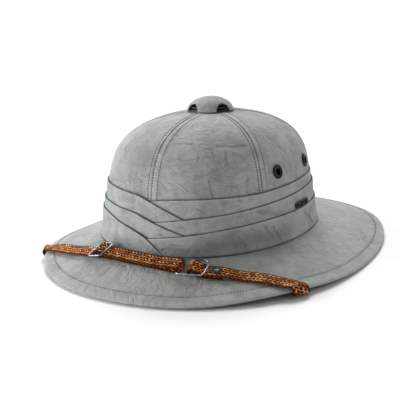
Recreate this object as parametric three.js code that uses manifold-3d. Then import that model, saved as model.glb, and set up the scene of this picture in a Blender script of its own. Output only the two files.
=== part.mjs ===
// A cloth-covered pith helmet with a pleated band, a vent cap and a braided
// leather chin strap laid over the front of the brim.
// Millimetres, +Z up, front towards -Y, the wearer's left towards +X.
// The origin is under the middle of the brim, on the surface it rests on.
import * as THREE from 'three';
import { mergeVertices } from 'three/addons/utils/BufferGeometryUtils.js';
import Module from 'manifold-3d';

const wasm = await Module();
wasm.setup();

// Clearance
const GAP = 0.3;

// Brim
const BRIM_WIDTH = 294;
const BRIM_FRONT_REACH = 167.7;
const BRIM_REAR_REACH = 199.1;
const BRIM_SQUARENESS = 2.14;
const BRIM_THICKNESS = 2.2;
const BRIM_EDGE_THICKNESS = 1;
const BRIM_DISH = 0.25;
const RIM_FRONT_LIFT = 4.4;
const RIM_REAR_LIFT = 1.8;
const COLLAR_WALL = 1.8;
const COLLAR_HEIGHT = 24;

// Cloth binding folded round the rim
const BINDING_WIDTH = 10;
const BINDING_WALL = 1.1;
const BINDING_FOOT = 2;

// Crown
const JUNCTION_HEIGHT = 25.4;
const CROWN_HEIGHT = 103.1;
const CROWN_WIDTH = 175.4;
const CROWN_FRONT_REACH = 105.7;
const CROWN_REAR_REACH = 102.3;
const CROWN_FORWARD = 6.2;
const CROWN_LEAN = 1.9;
const CROWN_SQUARENESS = 2.17;
const CROWN_SHOULDER = 5.16;
const CROWN_ROUNDNESS = 2.31;
const CROWN_TAPER = 0.06;
const CROWN_WALL = 2.4;

// Pleated band
const BAND_HEIGHT = 46;
const PLEAT_THICKNESS = 1;
const PLEAT_GAP = 0.4;
const PLEAT_TUCK = 6;
const PLEAT_FLARE = 1.4;
const PLEAT_EASE_HEIGHT = 14;
const PLEAT_EASE_ANGLE = 12;

// Vent in the top of the crown
const VENT_TUBE_RADIUS = 12;
const VENT_TUBE_WALL = 2;
const VENT_RIB_RADIUS = 15;
const VENT_RIB_COUNT = 3;
const VENT_FLANGE_RADIUS = 16;
const VENT_FLANGE_THICKNESS = 1.2;
const CAP_RADIUS = 21;
const CAP_HEIGHT = 12.8;
const CAP_WALL = 1.4;
const CAP_ARCH_WIDTH = 15.2;
const CAP_ARCH_HEIGHT = 6.9;
const CAP_ARCH_COUNT = 4;
const CAP_TURN = 21;

// Air eyelets
const EYELET_HEIGHT = 58.1;
const EYELET_ANGLES = { front: 75, rear: 104 };
const EYELET_FLANGE_RADIUS = 6;
const EYELET_TUBE_RADIUS = 3.7;
const EYELET_HOLE_RADIUS = 2.9;
const EYELET_WASHER_RADIUS = 4.9;
const EYELET_FLANGE_THICKNESS = 1;
const EYELET_INNER_PLAY = 0.8;

// Bare metal tab on the band
const TAB_LENGTH = 22;
const TAB_HEIGHT = 6;
const TAB_THICKNESS = 0.9;
const TAB_ANGLE = 90.3;

// Chin strap and its fittings
const STRAP_WIDTH = 15;
const STRAP_THICKNESS = 2.2;
const STRAP_UNDER_GAP = 0.9;
const STRAP_WALL_GAP = 0.85;
const STRAP_RIM_PLAY = 1.25;
const STRAP_CORNER_PLAY = 0.6;
const STRAP_SHARE_SLIDE = 0.325;
const STRAP_SHARE_BUCKLE = 0.697;
const FOLD_PLAY = 0.2;
const WIRE_RADIUS = 1;
const SLIDE_LENGTH = 15;
const BUCKLE_LENGTH = 28;
const FRAME_SIDE_PLAY = 1;
const FRAME_CORNER_RADIUS = 2.6;
const RIVET_HEAD_RADIUS = 3.5;
const RIVET_HEAD_HEIGHT = 1.2;
const RIVET_FOOT_RADIUS = 2.6;
const RIVET_FOOT_HEIGHT = 0.8;
const RIVET_SHANK_RADIUS = 1.2;
const RIVET_DISTANCE = 5.6;
const STRAP_TAIL = 7;
const ANCHOR_HEIGHT = 13;
const ANCHOR_HEAD_RADIUS = 4;
const ANCHOR_HEAD_HEIGHT = 1.2;
const ANCHOR_SHANK_RADIUS = 1.5;

// Fineness of the faceted surfaces
const FRONT_STEP = 4;
const FRONT_SPAN = 40;
const BACK_STEPS = 28;
const PATH_STEP = 7;
const PATH_BEND = Math.PI / 9;

// Top edges of the three pleats, each as [degrees round from the front,
// share of the band's height]. The right runs start under the crossing and go
// round the wearer's left; the left runs lie over them and cross the front.
const RIGHT_TOPS = [
  [[-16, 0.885], [0, 0.913], [13, 0.955], [28, 0.966], [62, 0.963], [83, 0.983], [100, 0.991],
    [140, 1], [180, 1]],
  [[-12, 0.505], [4.6, 0.557], [18.8, 0.622], [31.6, 0.656], [46, 0.696], [62, 0.74], [80, 0.774],
    [96, 0.797], [113, 0.808], [180, 0.809]],
  [[-10, 0.213], [0, 0.257], [11, 0.315], [20, 0.35], [31, 0.393], [46, 0.44], [61, 0.474],
    [78, 0.48], [99, 0.477], [114, 0.472], [180, 0.47]],
];
const LEFT_TOPS = [
  [[-180, 1], [-140, 1], [-90, 1.03], [-50, 1.05], [-34, 1.05], [-22, 1.037], [-12, 1.015],
    [-5, 0.985], [0.4, 0.913], [7.8, 0.8], [19.3, 0.62], [24, 0.545]],
  [[-180, 0.809], [-140, 0.8], [-90, 0.774], [-50, 0.752], [-33, 0.743], [-26, 0.735],
    [-13.6, 0.715], [-5.3, 0.675], [3, 0.562], [11, 0.458], [19.4, 0.348], [24, 0.288]],
  [[-180, 0.47], [-140, 0.48], [-90, 0.52], [-50, 0.552], [-33, 0.55], [-24, 0.517], [-12, 0.448],
    [-1.3, 0.315], [3.4, 0.18], [8, 0.03]],
];
const PLEAT_NAMES = ['band_pleat_upper', 'band_pleat_middle', 'band_pleat_lower'];

// Chin strap route: [degrees round from the front, share of the way from the
// crown to the rim], along the top of the brim from one rim edge to the other.
const STRAP_ROUTE_TOP = [
  [-51.2, 0.93], [-46.6, 0.757], [-38, 0.544], [-31, 0.43], [-20, 0.35], [-12, 0.3], [-4, 0.285],
  [5, 0.285], [14.4, 0.31], [22, 0.36], [30, 0.42], [36, 0.485], [44.8, 0.659], [48.9, 0.779],
  [53, 0.93],
];
// Degrees round from the front where the strap folds over the rim, and where
// it passes under the brim and up the inside of the collar.
const STRAP_RIM_LEFT = [-53.4, -55.4];
const STRAP_RIM_RIGHT = [54.9, 56.9];
const STRAP_UNDER_SHARES = [0.86, 0.6, 0.35, 0.12];
const STRAP_UNDER_TURN = [1.5, 5, 8, 10.5];
const STRAP_ANCHOR_TURN = 12;

const rad = THREE.MathUtils.degToRad;
const WIDEST_Y = (BRIM_FRONT_REACH - BRIM_REAR_REACH) / 2;
const CROWN_Y = WIDEST_Y - CROWN_FORWARD;
const RIM_THICKNESS = BRIM_EDGE_THICKNESS + 2 * (GAP + BINDING_WALL);
const LAYER = PLEAT_THICKNESS + PLEAT_GAP;
const v3 = (x, y, z) => new THREE.Vector3(x, y, z);

function smooth(value) {
  const x = THREE.MathUtils.clamp(value, 0, 1);
  return x * x * (3 - 2 * x);
}

// Smooth curve through a table of [position, value] pairs, level past its ends.
function tableAt(table, position) {
  const last = table.length - 1;
  if (position <= table[0][0]) return table[0][1];
  if (position >= table[last][0]) return table[last][1];
  let i = 0;
  while (table[i + 1][0] < position) i += 1;
  const slope = (j) => {
    const a = table[Math.max(j - 1, 0)];
    const b = table[Math.min(j + 1, last)];
    return (b[1] - a[1]) / (b[0] - a[0]);
  };
  const span = table[i + 1][0] - table[i][0];
  const x = (position - table[i][0]) / span;
  const rise = table[i + 1][1] - table[i][1];
  const easeIn = slope(i) * span;
  const easeOut = slope(i + 1) * span;
  return table[i][1] + x * (easeIn + x * (3 * rise - 2 * easeIn - easeOut
    + x * (easeIn + easeOut - 2 * rise)));
}

// Oval with its own reach to the front and to the rear.
function oval(angle, halfWidth, front, rear, power) {
  const s = Math.sin(angle);
  const c = Math.cos(angle);
  const reach = c >= 0 ? front : rear;
  return {
    x: halfWidth * Math.sign(s) * Math.abs(s) ** (2 / power),
    y: -reach * Math.sign(c) * Math.abs(c) ** (2 / power),
  };
}

// Brim surface
function bump(degrees, centre, halfSpan, height) {
  const away = Math.abs(degrees - centre) / halfSpan;
  return away < 1 ? height * Math.cos(away * Math.PI / 2) ** 2 : 0;
}

function rimLift(angle) {
  const turned = THREE.MathUtils.euclideanModulo(THREE.MathUtils.radToDeg(angle) + 180, 360) - 180;
  return bump(Math.abs(turned), 54, 36, RIM_FRONT_LIFT) + bump(Math.abs(turned), 130, 32, RIM_REAR_LIFT);
}

function rimOutline(angle) {
  const p = oval(angle, BRIM_WIDTH / 2, BRIM_FRONT_REACH, BRIM_REAR_REACH, BRIM_SQUARENESS);
  return { x: p.x, y: p.y + WIDEST_Y };
}

function brimReach(angle) {
  const inner = crownPoint(angle, 0);
  const outer = rimOutline(angle);
  return Math.hypot(outer.x - inner.x, outer.y - inner.y);
}

function brimDrop(angle) {
  return JUNCTION_HEIGHT - BRIM_THICKNESS / 2 - RIM_THICKNESS / 2 - rimLift(angle);
}

// Middle of the brim's thickness, share 0 at the crown and 1 at the rim.
function brimPoint(angle, share, above = 0) {
  const inner = crownPoint(angle, 0);
  const outer = rimOutline(angle);
  const fall = share * (1 - BRIM_DISH) + BRIM_DISH * share * share;
  return v3(
    THREE.MathUtils.lerp(inner.x, outer.x, share),
    THREE.MathUtils.lerp(inner.y, outer.y, share),
    JUNCTION_HEIGHT - BRIM_THICKNESS / 2 - brimDrop(angle) * fall + above,
  );
}

function brimInset(angle, inset, above = 0) {
  return brimPoint(angle, 1 - inset / brimReach(angle), above);
}

function brimNormal(angle, share) {
  const e = 0.002;
  const across = brimPoint(angle, share + e).sub(brimPoint(angle, share - e));
  const along = brimPoint(angle + e, share).sub(brimPoint(angle - e, share));
  const n = across.cross(along).normalize();
  return n.z < 0 ? n.negate() : n;
}

// Crown surface, h 0 at the brim and 1 at the top.
function crownSize(h) {
  return (1 - h ** CROWN_SHOULDER) ** (1 / CROWN_ROUNDNESS) * (1 - CROWN_TAPER * h);
}

function crownPoint(angle, h) {
  const size = crownSize(h);
  const p = oval(angle, CROWN_WIDTH / 2 * size, CROWN_FRONT_REACH * size, CROWN_REAR_REACH * size,
    CROWN_SQUARENESS);
  return v3(p.x, p.y + CROWN_Y + CROWN_LEAN * h, JUNCTION_HEIGHT + CROWN_HEIGHT * h);
}

function crownNormal(angle, h) {
  const s = Math.sin(angle);
  const c = Math.cos(angle);
  const n = CROWN_SQUARENESS;
  const reach = c >= 0 ? CROWN_FRONT_REACH : CROWN_REAR_REACH;
  const nx = Math.sign(s) * Math.abs(s) ** (2 - 2 / n) / (CROWN_WIDTH / 2);
  const ny = -Math.sign(c) * Math.abs(c) ** (2 - 2 / n) / reach;
  const round = 1 - h ** CROWN_SHOULDER;
  const change = -CROWN_SHOULDER / CROWN_ROUNDNESS * h ** (CROWN_SHOULDER - 1)
    * round ** (1 / CROWN_ROUNDNESS - 1) * (1 - CROWN_TAPER * h)
    - CROWN_TAPER * round ** (1 / CROWN_ROUNDNESS);
  return v3(nx, ny, -change / CROWN_HEIGHT - ny * CROWN_LEAN / CROWN_HEIGHT).normalize();
}

function crownOffset(angle, h, distance) {
  return crownPoint(angle, h).addScaledVector(crownNormal(angle, h), distance);
}

// Point of the crown's surface at a radius from the top's centre.
function crownTopPoint(angle, radius, below) {
  let low = 0.5;
  let high = 1;
  for (let i = 0; i < 40; i += 1) {
    const h = (low + high) / 2;
    const p = crownPoint(angle, h);
    const reach = Math.hypot(p.x, p.y - CROWN_Y - CROWN_LEAN);
    if (reach > radius) low = h;
    else high = h;
  }
  const z = JUNCTION_HEIGHT + CROWN_HEIGHT * low - below;
  return v3(radius * Math.sin(angle), CROWN_Y + CROWN_LEAN - radius * Math.cos(angle), z);
}

// Solids
function solid(points, faces) {
  let volume = 0;
  for (const [a, b, c] of faces) {
    volume += points[a].dot(points[b].clone().cross(points[c]));
  }
  const turned = volume < 0 ? faces.map(([a, b, c]) => [a, c, b]) : faces;
  const geometry = new THREE.BufferGeometry();
  geometry.setAttribute('position', new THREE.Float32BufferAttribute(points.flatMap((p) => p.toArray()), 3));
  geometry.setIndex(turned.flat());
  return geometry;
}

function bandFaces(count, size, closed) {
  const faces = [];
  const last = closed ? count : count - 1;
  for (let i = 0; i < last; i += 1) {
    const j = (i + 1) % count;
    for (let k = 0; k < size; k += 1) {
      const l = (k + 1) % size;
      faces.push([i * size + k, j * size + k, j * size + l], [i * size + k, j * size + l, i * size + l]);
    }
  }
  return faces;
}

// Closed ring of equal sections.
function ringSolid(sections) {
  return solid(sections.flat(), bandFaces(sections.length, sections[0].length, true));
}

// Open run of sections. Each section lists one side and then the other side
// backwards, so that its ends close as a strip.
function runSolid(sections) {
  const size = sections[0].length;
  const faces = bandFaces(sections.length, size, false);
  const endStart = (sections.length - 1) * size;
  for (let k = 0; k < size / 2 - 1; k += 1) {
    const a = k;
    const b = k + 1;
    const c = size - 2 - k;
    const d = size - 1 - k;
    faces.push([a, b, c], [a, c, d]);
    faces.push([endStart + a, endStart + c, endStart + b], [endStart + a, endStart + d, endStart + c]);
  }
  return solid(sections.flat(), faces);
}

function toManifold(geometry) {
  const bare = geometry.clone();
  bare.deleteAttribute('normal');
  bare.deleteAttribute('uv');
  const merged = mergeVertices(bare, 1e-4);
  return new wasm.Manifold(new wasm.Mesh({
    numProp: 3,
    vertProperties: new Float32Array(merged.attributes.position.array),
    triVerts: new Uint32Array(merged.index.array),
  }));
}

function fromManifold(body) {
  const mesh = body.getMesh();
  const geometry = new THREE.BufferGeometry();
  geometry.setAttribute('position', new THREE.Float32BufferAttribute(Array.from(mesh.vertProperties), 3));
  geometry.setIndex(Array.from(mesh.triVerts));
  return geometry;
}

function cut(geometry, tools) {
  let body = toManifold(geometry);
  for (const tool of tools) body = body.subtract(toManifold(tool));
  return fromManifold(body);
}

function join(geometry, others) {
  let body = toManifold(geometry);
  for (const other of others) body = body.add(toManifold(other));
  return fromManifold(body);
}

// Places a shape whose axis is +Z so that the axis points along a direction.
function aim(geometry, position, direction) {
  const turn = new THREE.Quaternion().setFromUnitVectors(v3(0, 0, 1), direction.clone().normalize());
  return geometry.applyQuaternion(turn).translate(position.x, position.y, position.z);
}

function turned(profile, segments) {
  const outline = profile.map(([r, z]) => new THREE.Vector2(r, z));
  outline.push(outline[0].clone());
  return new THREE.LatheGeometry(outline, segments).rotateX(Math.PI / 2);
}

function pin(radius, start, end, segments = 10) {
  const length = start.distanceTo(end);
  const shape = new THREE.CylinderGeometry(radius, radius, length, segments).rotateX(Math.PI / 2);
  return aim(shape, start.clone().lerp(end, 0.5), end.clone().sub(start));
}

// Stations round the hat. The pleats need them closer together across the front.
function stationsEvery(frontStep) {
  const list = [];
  for (let a = -FRONT_SPAN; a < FRONT_SPAN; a += frontStep) list.push(a);
  for (let i = 0; i < BACK_STEPS; i += 1) {
    list.push(FRONT_SPAN + (360 - 2 * FRONT_SPAN) * i / BACK_STEPS);
  }
  return list;
}

const stations = stationsEvery(2 * FRONT_STEP);
const pleatStations = stationsEvery(FRONT_STEP);

// Brim with the collar that stands up inside the crown
function brimSection(degrees) {
  const a = rad(degrees);
  const outside = -(CROWN_WALL + GAP);
  const inside = outside - COLLAR_WALL;
  const top = COLLAR_HEIGHT / CROWN_HEIGHT;
  const half = BRIM_THICKNESS / 2;
  const thin = BRIM_EDGE_THICKNESS / 2;
  const rebate = BINDING_WIDTH + GAP;
  const edge = BINDING_WALL + 2 * GAP;
  const foot = crownOffset(a, 0, outside).setZ(JUNCTION_HEIGHT);
  const under = crownOffset(a, 0, inside).setZ(JUNCTION_HEIGHT - BRIM_THICKNESS);
  return [
    crownOffset(a, top, inside), crownOffset(a, top, outside), foot,
    brimPoint(a, 0, half), brimPoint(a, 0.5, half),
    brimInset(a, rebate, half), brimInset(a, rebate, thin),
    brimInset(a, edge, thin), brimInset(a, edge, -thin),
    brimInset(a, rebate, -thin), brimInset(a, rebate, -half),
    brimPoint(a, 0.5, -half), brimPoint(a, 0, -half), under,
  ];
}

// Binding: a U that takes the thinned edge of the brim, with a level foot
function bindingSection(degrees) {
  const a = rad(degrees);
  const inner = BRIM_EDGE_THICKNESS / 2 + GAP;
  const outer = inner + BINDING_WALL;
  const bottom = rimLift(a);
  const nose = BINDING_WALL / 2;
  return [
    brimInset(a, BINDING_WIDTH, inner), brimInset(a, BINDING_WIDTH, outer),
    brimInset(a, nose * 2.4, outer * 0.93), brimInset(a, nose * 0.35, outer * 0.35),
    brimInset(a, 0, -outer * 0.35), brimInset(a, nose, 0).setZ(bottom),
    brimInset(a, nose + BINDING_FOOT, 0).setZ(bottom), brimInset(a, BINDING_WIDTH, -outer),
    brimInset(a, BINDING_WIDTH, -inner), brimInset(a, BINDING_WALL + GAP, -inner),
    brimInset(a, BINDING_WALL + GAP, inner),
  ];
}

// Crown
const OUTER_LEVELS = [0.2, 0.4, 0.57, 0.7, 0.8, 0.88, 0.94, 0.975, 0.992];
const INNER_LEVELS = [0.2, 0.42, 0.56, 0.69, 0.81, 0.91, 0.97];

function crownSection(degrees) {
  const a = rad(degrees);
  const start = GAP / CROWN_HEIGHT;
  const hole = VENT_TUBE_RADIUS + GAP;
  return [
    crownPoint(a, start),
    ...OUTER_LEVELS.map((h) => crownPoint(a, h)),
    crownTopPoint(a, hole, 0),
    crownTopPoint(a, hole, CROWN_WALL),
    ...INNER_LEVELS.map((h) => crownOffset(a, h, -CROWN_WALL)).reverse(),
    crownOffset(a, start, -CROWN_WALL).setZ(JUNCTION_HEIGHT + GAP),
  ];
}

// Pleats
function topLine(table, degrees) {
  return JUNCTION_HEIGHT + BAND_HEIGHT * tableAt(table, degrees);
}

const runStart = (k) => RIGHT_TOPS[k][0][0];
const runEnd = (k) => LEFT_TOPS[k][LEFT_TOPS[k].length - 1][0];

function bottomLine(tables, k, degrees) {
  const low = JUNCTION_HEIGHT + PLEAT_THICKNESS;
  return k === 2 ? JUNCTION_HEIGHT : Math.max(topLine(tables[k + 1], degrees) - PLEAT_TUCK, low);
}

function presence(tables, k, degrees, z, along) {
  const over = (topLine(tables[k], degrees) + PLEAT_EASE_HEIGHT - z) / PLEAT_EASE_HEIGHT;
  const under = (z - bottomLine(tables, k, degrees) + PLEAT_EASE_HEIGHT) / PLEAT_EASE_HEIGHT;
  return smooth(over) * smooth(under) * smooth(along);
}

function rightPresence(k, degrees, z) {
  return presence(RIGHT_TOPS, k, degrees, z, (degrees - runStart(k)) / PLEAT_EASE_ANGLE + 1);
}

function leftPresence(k, degrees, z) {
  return presence(LEFT_TOPS, k, degrees, z, (runEnd(k) - degrees) / PLEAT_EASE_ANGLE + 1);
}

// Distance of a pleat's inner face from the crown: one layer for each pleat
// under it, and one more wherever a pleat under it lies double.
function pleatLift(k, left, degrees, z) {
  let layers = k;
  for (let below = 0; below < k; below += 1) {
    layers += rightPresence(below, degrees, z) * leftPresence(below, degrees, z);
  }
  if (left) layers += rightPresence(k, degrees, z);
  return PLEAT_GAP + layers * LAYER;
}

function pleatSection(k, left, degrees) {
  const a = rad(degrees);
  const tables = left ? LEFT_TOPS : RIGHT_TOPS;
  const top = topLine(tables[k], degrees);
  const bottom = Math.min(bottomLine(tables, k, degrees), top - PLEAT_THICKNESS);
  const slope = (1 - BRIM_DISH) * brimDrop(a) / brimReach(a);
  const place = (share, depth) => {
    const z = THREE.MathUtils.lerp(bottom, top, share);
    const flare = k === 2 ? PLEAT_FLARE * (1 - share) ** 3 : 0;
    const distance = pleatLift(k, left, degrees, z) + depth + flare;
    const fall = k === 2 ? (PLEAT_GAP - slope * distance) * (1 - share) : 0;
    const p = crownOffset(a, (z - JUNCTION_HEIGHT) / CROWN_HEIGHT, distance);
    return p.setZ(z + fall);
  };
  const shares = [0, 0.3, 0.55, 0.8, 1];
  return [
    ...shares.map((share) => place(share, PLEAT_THICKNESS)),
    ...shares.map((share) => place(share, 0)).reverse(),
  ];
}

function pleat(k) {
  const start = runStart(k);
  const end = runEnd(k);
  const right = [start, ...pleatStations.filter((d) => d > start + 1 && d <= 180)];
  const left = [...pleatStations.filter((d) => d > 180).map((d) => d - 360),
    ...pleatStations.filter((d) => d < end - 1), end];
  return runSolid([
    ...right.map((d) => pleatSection(k, false, d)),
    ...left.map((d) => pleatSection(k, true, d)),
  ]);
}

// Eyelet set through the crown's wall
function eyelet(angle) {
  const h = EYELET_HEIGHT / CROWN_HEIGHT;
  const seat = GAP + 0.1;
  const top = seat + EYELET_FLANGE_THICKNESS;
  const under = -CROWN_WALL - EYELET_INNER_PLAY;
  const shape = turned([
    [EYELET_HOLE_RADIUS, under - EYELET_FLANGE_THICKNESS], [EYELET_WASHER_RADIUS, under - EYELET_FLANGE_THICKNESS],
    [EYELET_WASHER_RADIUS, under], [EYELET_TUBE_RADIUS, under], [EYELET_TUBE_RADIUS, seat],
    [EYELET_FLANGE_RADIUS, seat], [EYELET_FLANGE_RADIUS - 0.9, top], [EYELET_HOLE_RADIUS + 0.6, top],
    [EYELET_HOLE_RADIUS, seat],
  ], 12);
  return aim(shape, crownPoint(angle, h), crownNormal(angle, h));
}

function crownHole(angle, height, radius) {
  const h = height / CROWN_HEIGHT;
  const p = crownPoint(angle, h);
  const n = crownNormal(angle, h);
  return pin(radius, p.clone().addScaledVector(n, -4 * CROWN_WALL), p.clone().addScaledVector(n, CROWN_WALL));
}

// Vent
const APEX_Z = JUNCTION_HEIGHT + CROWN_HEIGHT;
const APEX_Y = CROWN_Y + CROWN_LEAN;
const CAP_BASE_Z = APEX_Z - 0.1;

function capInside(radius) {
  const rx = CAP_RADIUS - CAP_WALL;
  return CAP_BASE_Z + (CAP_HEIGHT - CAP_WALL) * Math.sqrt(1 - (radius / rx) ** 2);
}

function ventCore() {
  const bore = VENT_TUBE_RADIUS - VENT_TUBE_WALL;
  const drop = APEX_Z - crownTopPoint(Math.PI / 2, VENT_FLANGE_RADIUS, 0).z;
  const flangeTop = APEX_Z - drop - CROWN_WALL - GAP;
  const ribStart = APEX_Z + GAP;
  const top = capInside(VENT_TUBE_RADIUS) - GAP;
  const pitch = (top - ribStart) / (VENT_RIB_COUNT + 0.4);
  const profile = [
    [bore, flangeTop - VENT_FLANGE_THICKNESS], [VENT_FLANGE_RADIUS, flangeTop - VENT_FLANGE_THICKNESS],
    [VENT_FLANGE_RADIUS, flangeTop], [VENT_TUBE_RADIUS, flangeTop], [VENT_TUBE_RADIUS, ribStart],
  ];
  for (let i = 0; i < VENT_RIB_COUNT; i += 1) {
    const low = ribStart + pitch * i;
    const high = low + pitch / 2;
    let reach = VENT_RIB_RADIUS;
    while (capInside(reach) - GAP < high) reach -= 0.05;
    profile.push([reach, low], [reach, high], [VENT_TUBE_RADIUS, high]);
    if (i < VENT_RIB_COUNT - 1) profile.push([VENT_TUBE_RADIUS, low + pitch]);
  }
  profile.push([VENT_TUBE_RADIUS, top], [bore, top]);
  return turned(profile, 16).translate(0, APEX_Y, 0);
}

function dome(radius, height, segments, rings) {
  const profile = [[0, 0]];
  for (let i = 0; i <= rings; i += 1) {
    const a = Math.PI / 2 * i / rings;
    profile.push([i === rings ? 0 : radius * Math.cos(a), height * Math.sin(a)]);
  }
  const outline = profile.map(([r, z]) => new THREE.Vector2(r, z));
  return new THREE.LatheGeometry(outline, segments).rotateX(Math.PI / 2);
}

function ventCap() {
  const outer = dome(CAP_RADIUS, CAP_HEIGHT, 24, 5);
  const inner = dome(CAP_RADIUS - CAP_WALL, CAP_HEIGHT - CAP_WALL, 24, 4);
  const floor = new THREE.CylinderGeometry(CAP_RADIUS - CAP_WALL, CAP_RADIUS - CAP_WALL, 2, 24)
    .rotateX(Math.PI / 2).translate(0, 0, -0.99);
  const arches = [];
  for (let i = 0; i < CAP_ARCH_COUNT; i += 1) {
    const turn = rad(CAP_TURN + (i + 0.5) * 360 / CAP_ARCH_COUNT);
    const tunnel = new THREE.CylinderGeometry(1, 1, 2 * CAP_RADIUS, 12, 1, false, rad(15))
      .scale(CAP_ARCH_WIDTH / 2, 1, CAP_ARCH_HEIGHT)
      .translate(0, -1.5 * CAP_RADIUS, 0)
      .rotateZ(turn);
    arches.push(tunnel);
  }
  return cut(outer, [inner, floor, ...arches]).translate(0, APEX_Y, CAP_BASE_Z);
}

// Metal tab on the middle pleat, just over the edge of the lower one
function metalTab() {
  const low = topLine(RIGHT_TOPS[2], TAB_ANGLE) + GAP + 0.2;
  const girth = CROWN_FRONT_REACH;
  const sections = [];
  for (let i = 0; i <= 6; i += 1) {
    const along = i / 3 - 1;
    const degrees = TAB_ANGLE + THREE.MathUtils.radToDeg(along * TAB_LENGTH / 2 / girth);
    const half = TAB_HEIGHT / 2 * Math.sqrt(1 - 0.75 * Math.abs(along) ** 6);
    const middle = low + TAB_HEIGHT / 2;
    const place = (z, depth) => {
      const distance = pleatLift(1, false, degrees, z) + PLEAT_THICKNESS + GAP + depth;
      return crownOffset(rad(degrees), (z - JUNCTION_HEIGHT) / CROWN_HEIGHT, distance);
    };
    sections.push([
      place(middle - half, TAB_THICKNESS), place(middle + half, TAB_THICKNESS),
      place(middle + half, 0), place(middle - half, 0),
    ]);
  }
  return runSolid(sections);
}

// The strap's guide line over the brim, round the rim and up the collar, from
// the anchor on the wearer's right to the one on the left. Each entry holds a
// point of the surface under the strap and the direction away from it.
// Half the thickness that a strap lies on, which grows before the strap's
// slanted front edge reaches the binding.
function halfUnder(a, share) {
  const inset = (1 - share) * brimReach(a);
  const overBinding = 1 - smooth((inset - BINDING_WIDTH - 0.4 * STRAP_WIDTH) / (0.5 * STRAP_WIDTH));
  return THREE.MathUtils.lerp(BRIM_THICKNESS / 2, RIM_THICKNESS / 2, overBinding);
}

function edgeAt(a, share) {
  return brimPoint(a + 0.01, share).sub(brimPoint(a - 0.01, share)).normalize();
}

function topGuide([degrees, share]) {
  const a = rad(degrees);
  const guideEntry = { p: brimPoint(a, share, halfUnder(a, share)), n: brimNormal(a, share) };
  if (share > 0.9) guideEntry.edge = edgeAt(a, share);
  return guideEntry;
}

function rimGuide([from, to]) {
  const entries = [];
  const radius = RIM_THICKNESS / 2 + STRAP_RIM_PLAY;
  for (let i = 0; i <= 4; i += 1) {
    const a = rad(THREE.MathUtils.lerp(from, to, i / 4));
    const up = brimNormal(a, 0.98);
    const out = brimInset(a, 0).sub(brimInset(a, 4)).projectOnPlane(up).normalize();
    const turn = Math.PI * (0.12 + 0.76 * i / 4);
    const n = up.multiplyScalar(Math.cos(turn)).addScaledVector(out, Math.sin(turn));
    entries.push({ p: brimInset(a, 2).addScaledVector(n, radius), n, edge: edgeAt(a, 1) });
  }
  return entries;
}

function underGuide(from, side) {
  const extra = STRAP_UNDER_GAP - GAP;
  const entries = STRAP_UNDER_SHARES.map((share, i) => {
    const a = rad(from + side * STRAP_UNDER_TURN[i]);
    const fall = halfUnder(a, share) + extra;
    return { p: brimPoint(a, share, -fall), n: brimNormal(a, share).negate(), edge: edgeAt(a, share) };
  });
  const a = rad(from + side * STRAP_ANCHOR_TURN);
  const depth = CROWN_WALL + GAP + COLLAR_WALL;
  const inward = crownNormal(a, 0).setZ(0).normalize().negate();
  const corner = crownOffset(a, 0, -depth).setZ(JUNCTION_HEIGHT - BRIM_THICKNESS);
  const edge = edgeAt(a, 0);
  for (const turn of [20, 55, 85]) {
    const n = inward.clone().multiplyScalar(Math.sin(rad(turn))).add(v3(0, 0, -Math.cos(rad(turn))));
    entries.push({ p: corner.clone().addScaledVector(n, STRAP_WALL_GAP - GAP + STRAP_CORNER_PLAY), n, edge });
  }
  const end = ANCHOR_HEIGHT + STRAP_TAIL;
  for (const height of [0.15 * end, 0.6 * end, end]) {
    const h = height / CROWN_HEIGHT;
    const n = crownNormal(a, h).negate();
    entries.push({ p: crownOffset(a, h, -depth - STRAP_WALL_GAP + GAP), n, edge });
  }
  return entries;
}

const leftUnder = underGuide(STRAP_RIM_LEFT[1], -1).reverse();
const leftRim = rimGuide(STRAP_RIM_LEFT).reverse();
const topRun = STRAP_ROUTE_TOP.map(topGuide);
const rightRim = rimGuide(STRAP_RIM_RIGHT);
const rightUnder = underGuide(STRAP_RIM_RIGHT[1], 1);
const guide = [...leftUnder, ...leftRim, ...topRun, ...rightRim, ...rightUnder];
const guideCurve = new THREE.CatmullRomCurve3(guide.map((g) => g.p), false, 'centripetal');

// Arc lengths at the guide's own entries, for interpolating its directions
const GUIDE_FINENESS = 24;
const guidePoints = guideCurve.getPoints(GUIDE_FINENESS * (guide.length - 1));
const guideLengths = [0];
for (let i = 1; i < guidePoints.length; i += 1) {
  guideLengths.push(guideLengths[i - 1] + guidePoints[i].distanceTo(guidePoints[i - 1]));
}
const lengthAtEntry = (i) => guideLengths[i * GUIDE_FINENESS];
const GUIDE_LENGTH = guideLengths[guideLengths.length - 1];

function guideAt(s) {
  const target = THREE.MathUtils.clamp(s, 0, GUIDE_LENGTH - 1e-6);
  let i = 0;
  while (guideLengths[i + 1] < target) i += 1;
  const x = (target - guideLengths[i]) / (guideLengths[i + 1] - guideLengths[i]);
  const p = guidePoints[i].clone().lerp(guidePoints[i + 1], x);
  const t = guidePoints[i + 1].clone().sub(guidePoints[i]).normalize();
  const entry = Math.min(Math.floor((i + x) / GUIDE_FINENESS), guide.length - 2);
  const n = guide[entry].n.clone().lerp(guide[entry + 1].n, (i + x) / GUIDE_FINENESS - entry);
  n.projectOnPlane(t).normalize();
  const side = guide[entry].side.clone().lerp(guide[entry + 1].side, (i + x) / GUIDE_FINENESS - entry);
  return { p, t, n, side };
}

// Across the strap: square to its run, or along the edge that it folds over,
// where its slanted width takes up more of that edge.
guide.forEach((g, i) => {
  const t = guideCurve.getTangent(i / (guide.length - 1));
  const square = g.n.clone().cross(t).normalize();
  if (!g.edge) {
    g.side = square;
    return;
  }
  const slant = Math.sqrt(1 - g.edge.dot(t) ** 2);
  g.side = g.edge.clone().multiplyScalar(Math.sign(g.edge.dot(square)) / Math.max(slant, 0.6));
});

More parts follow.
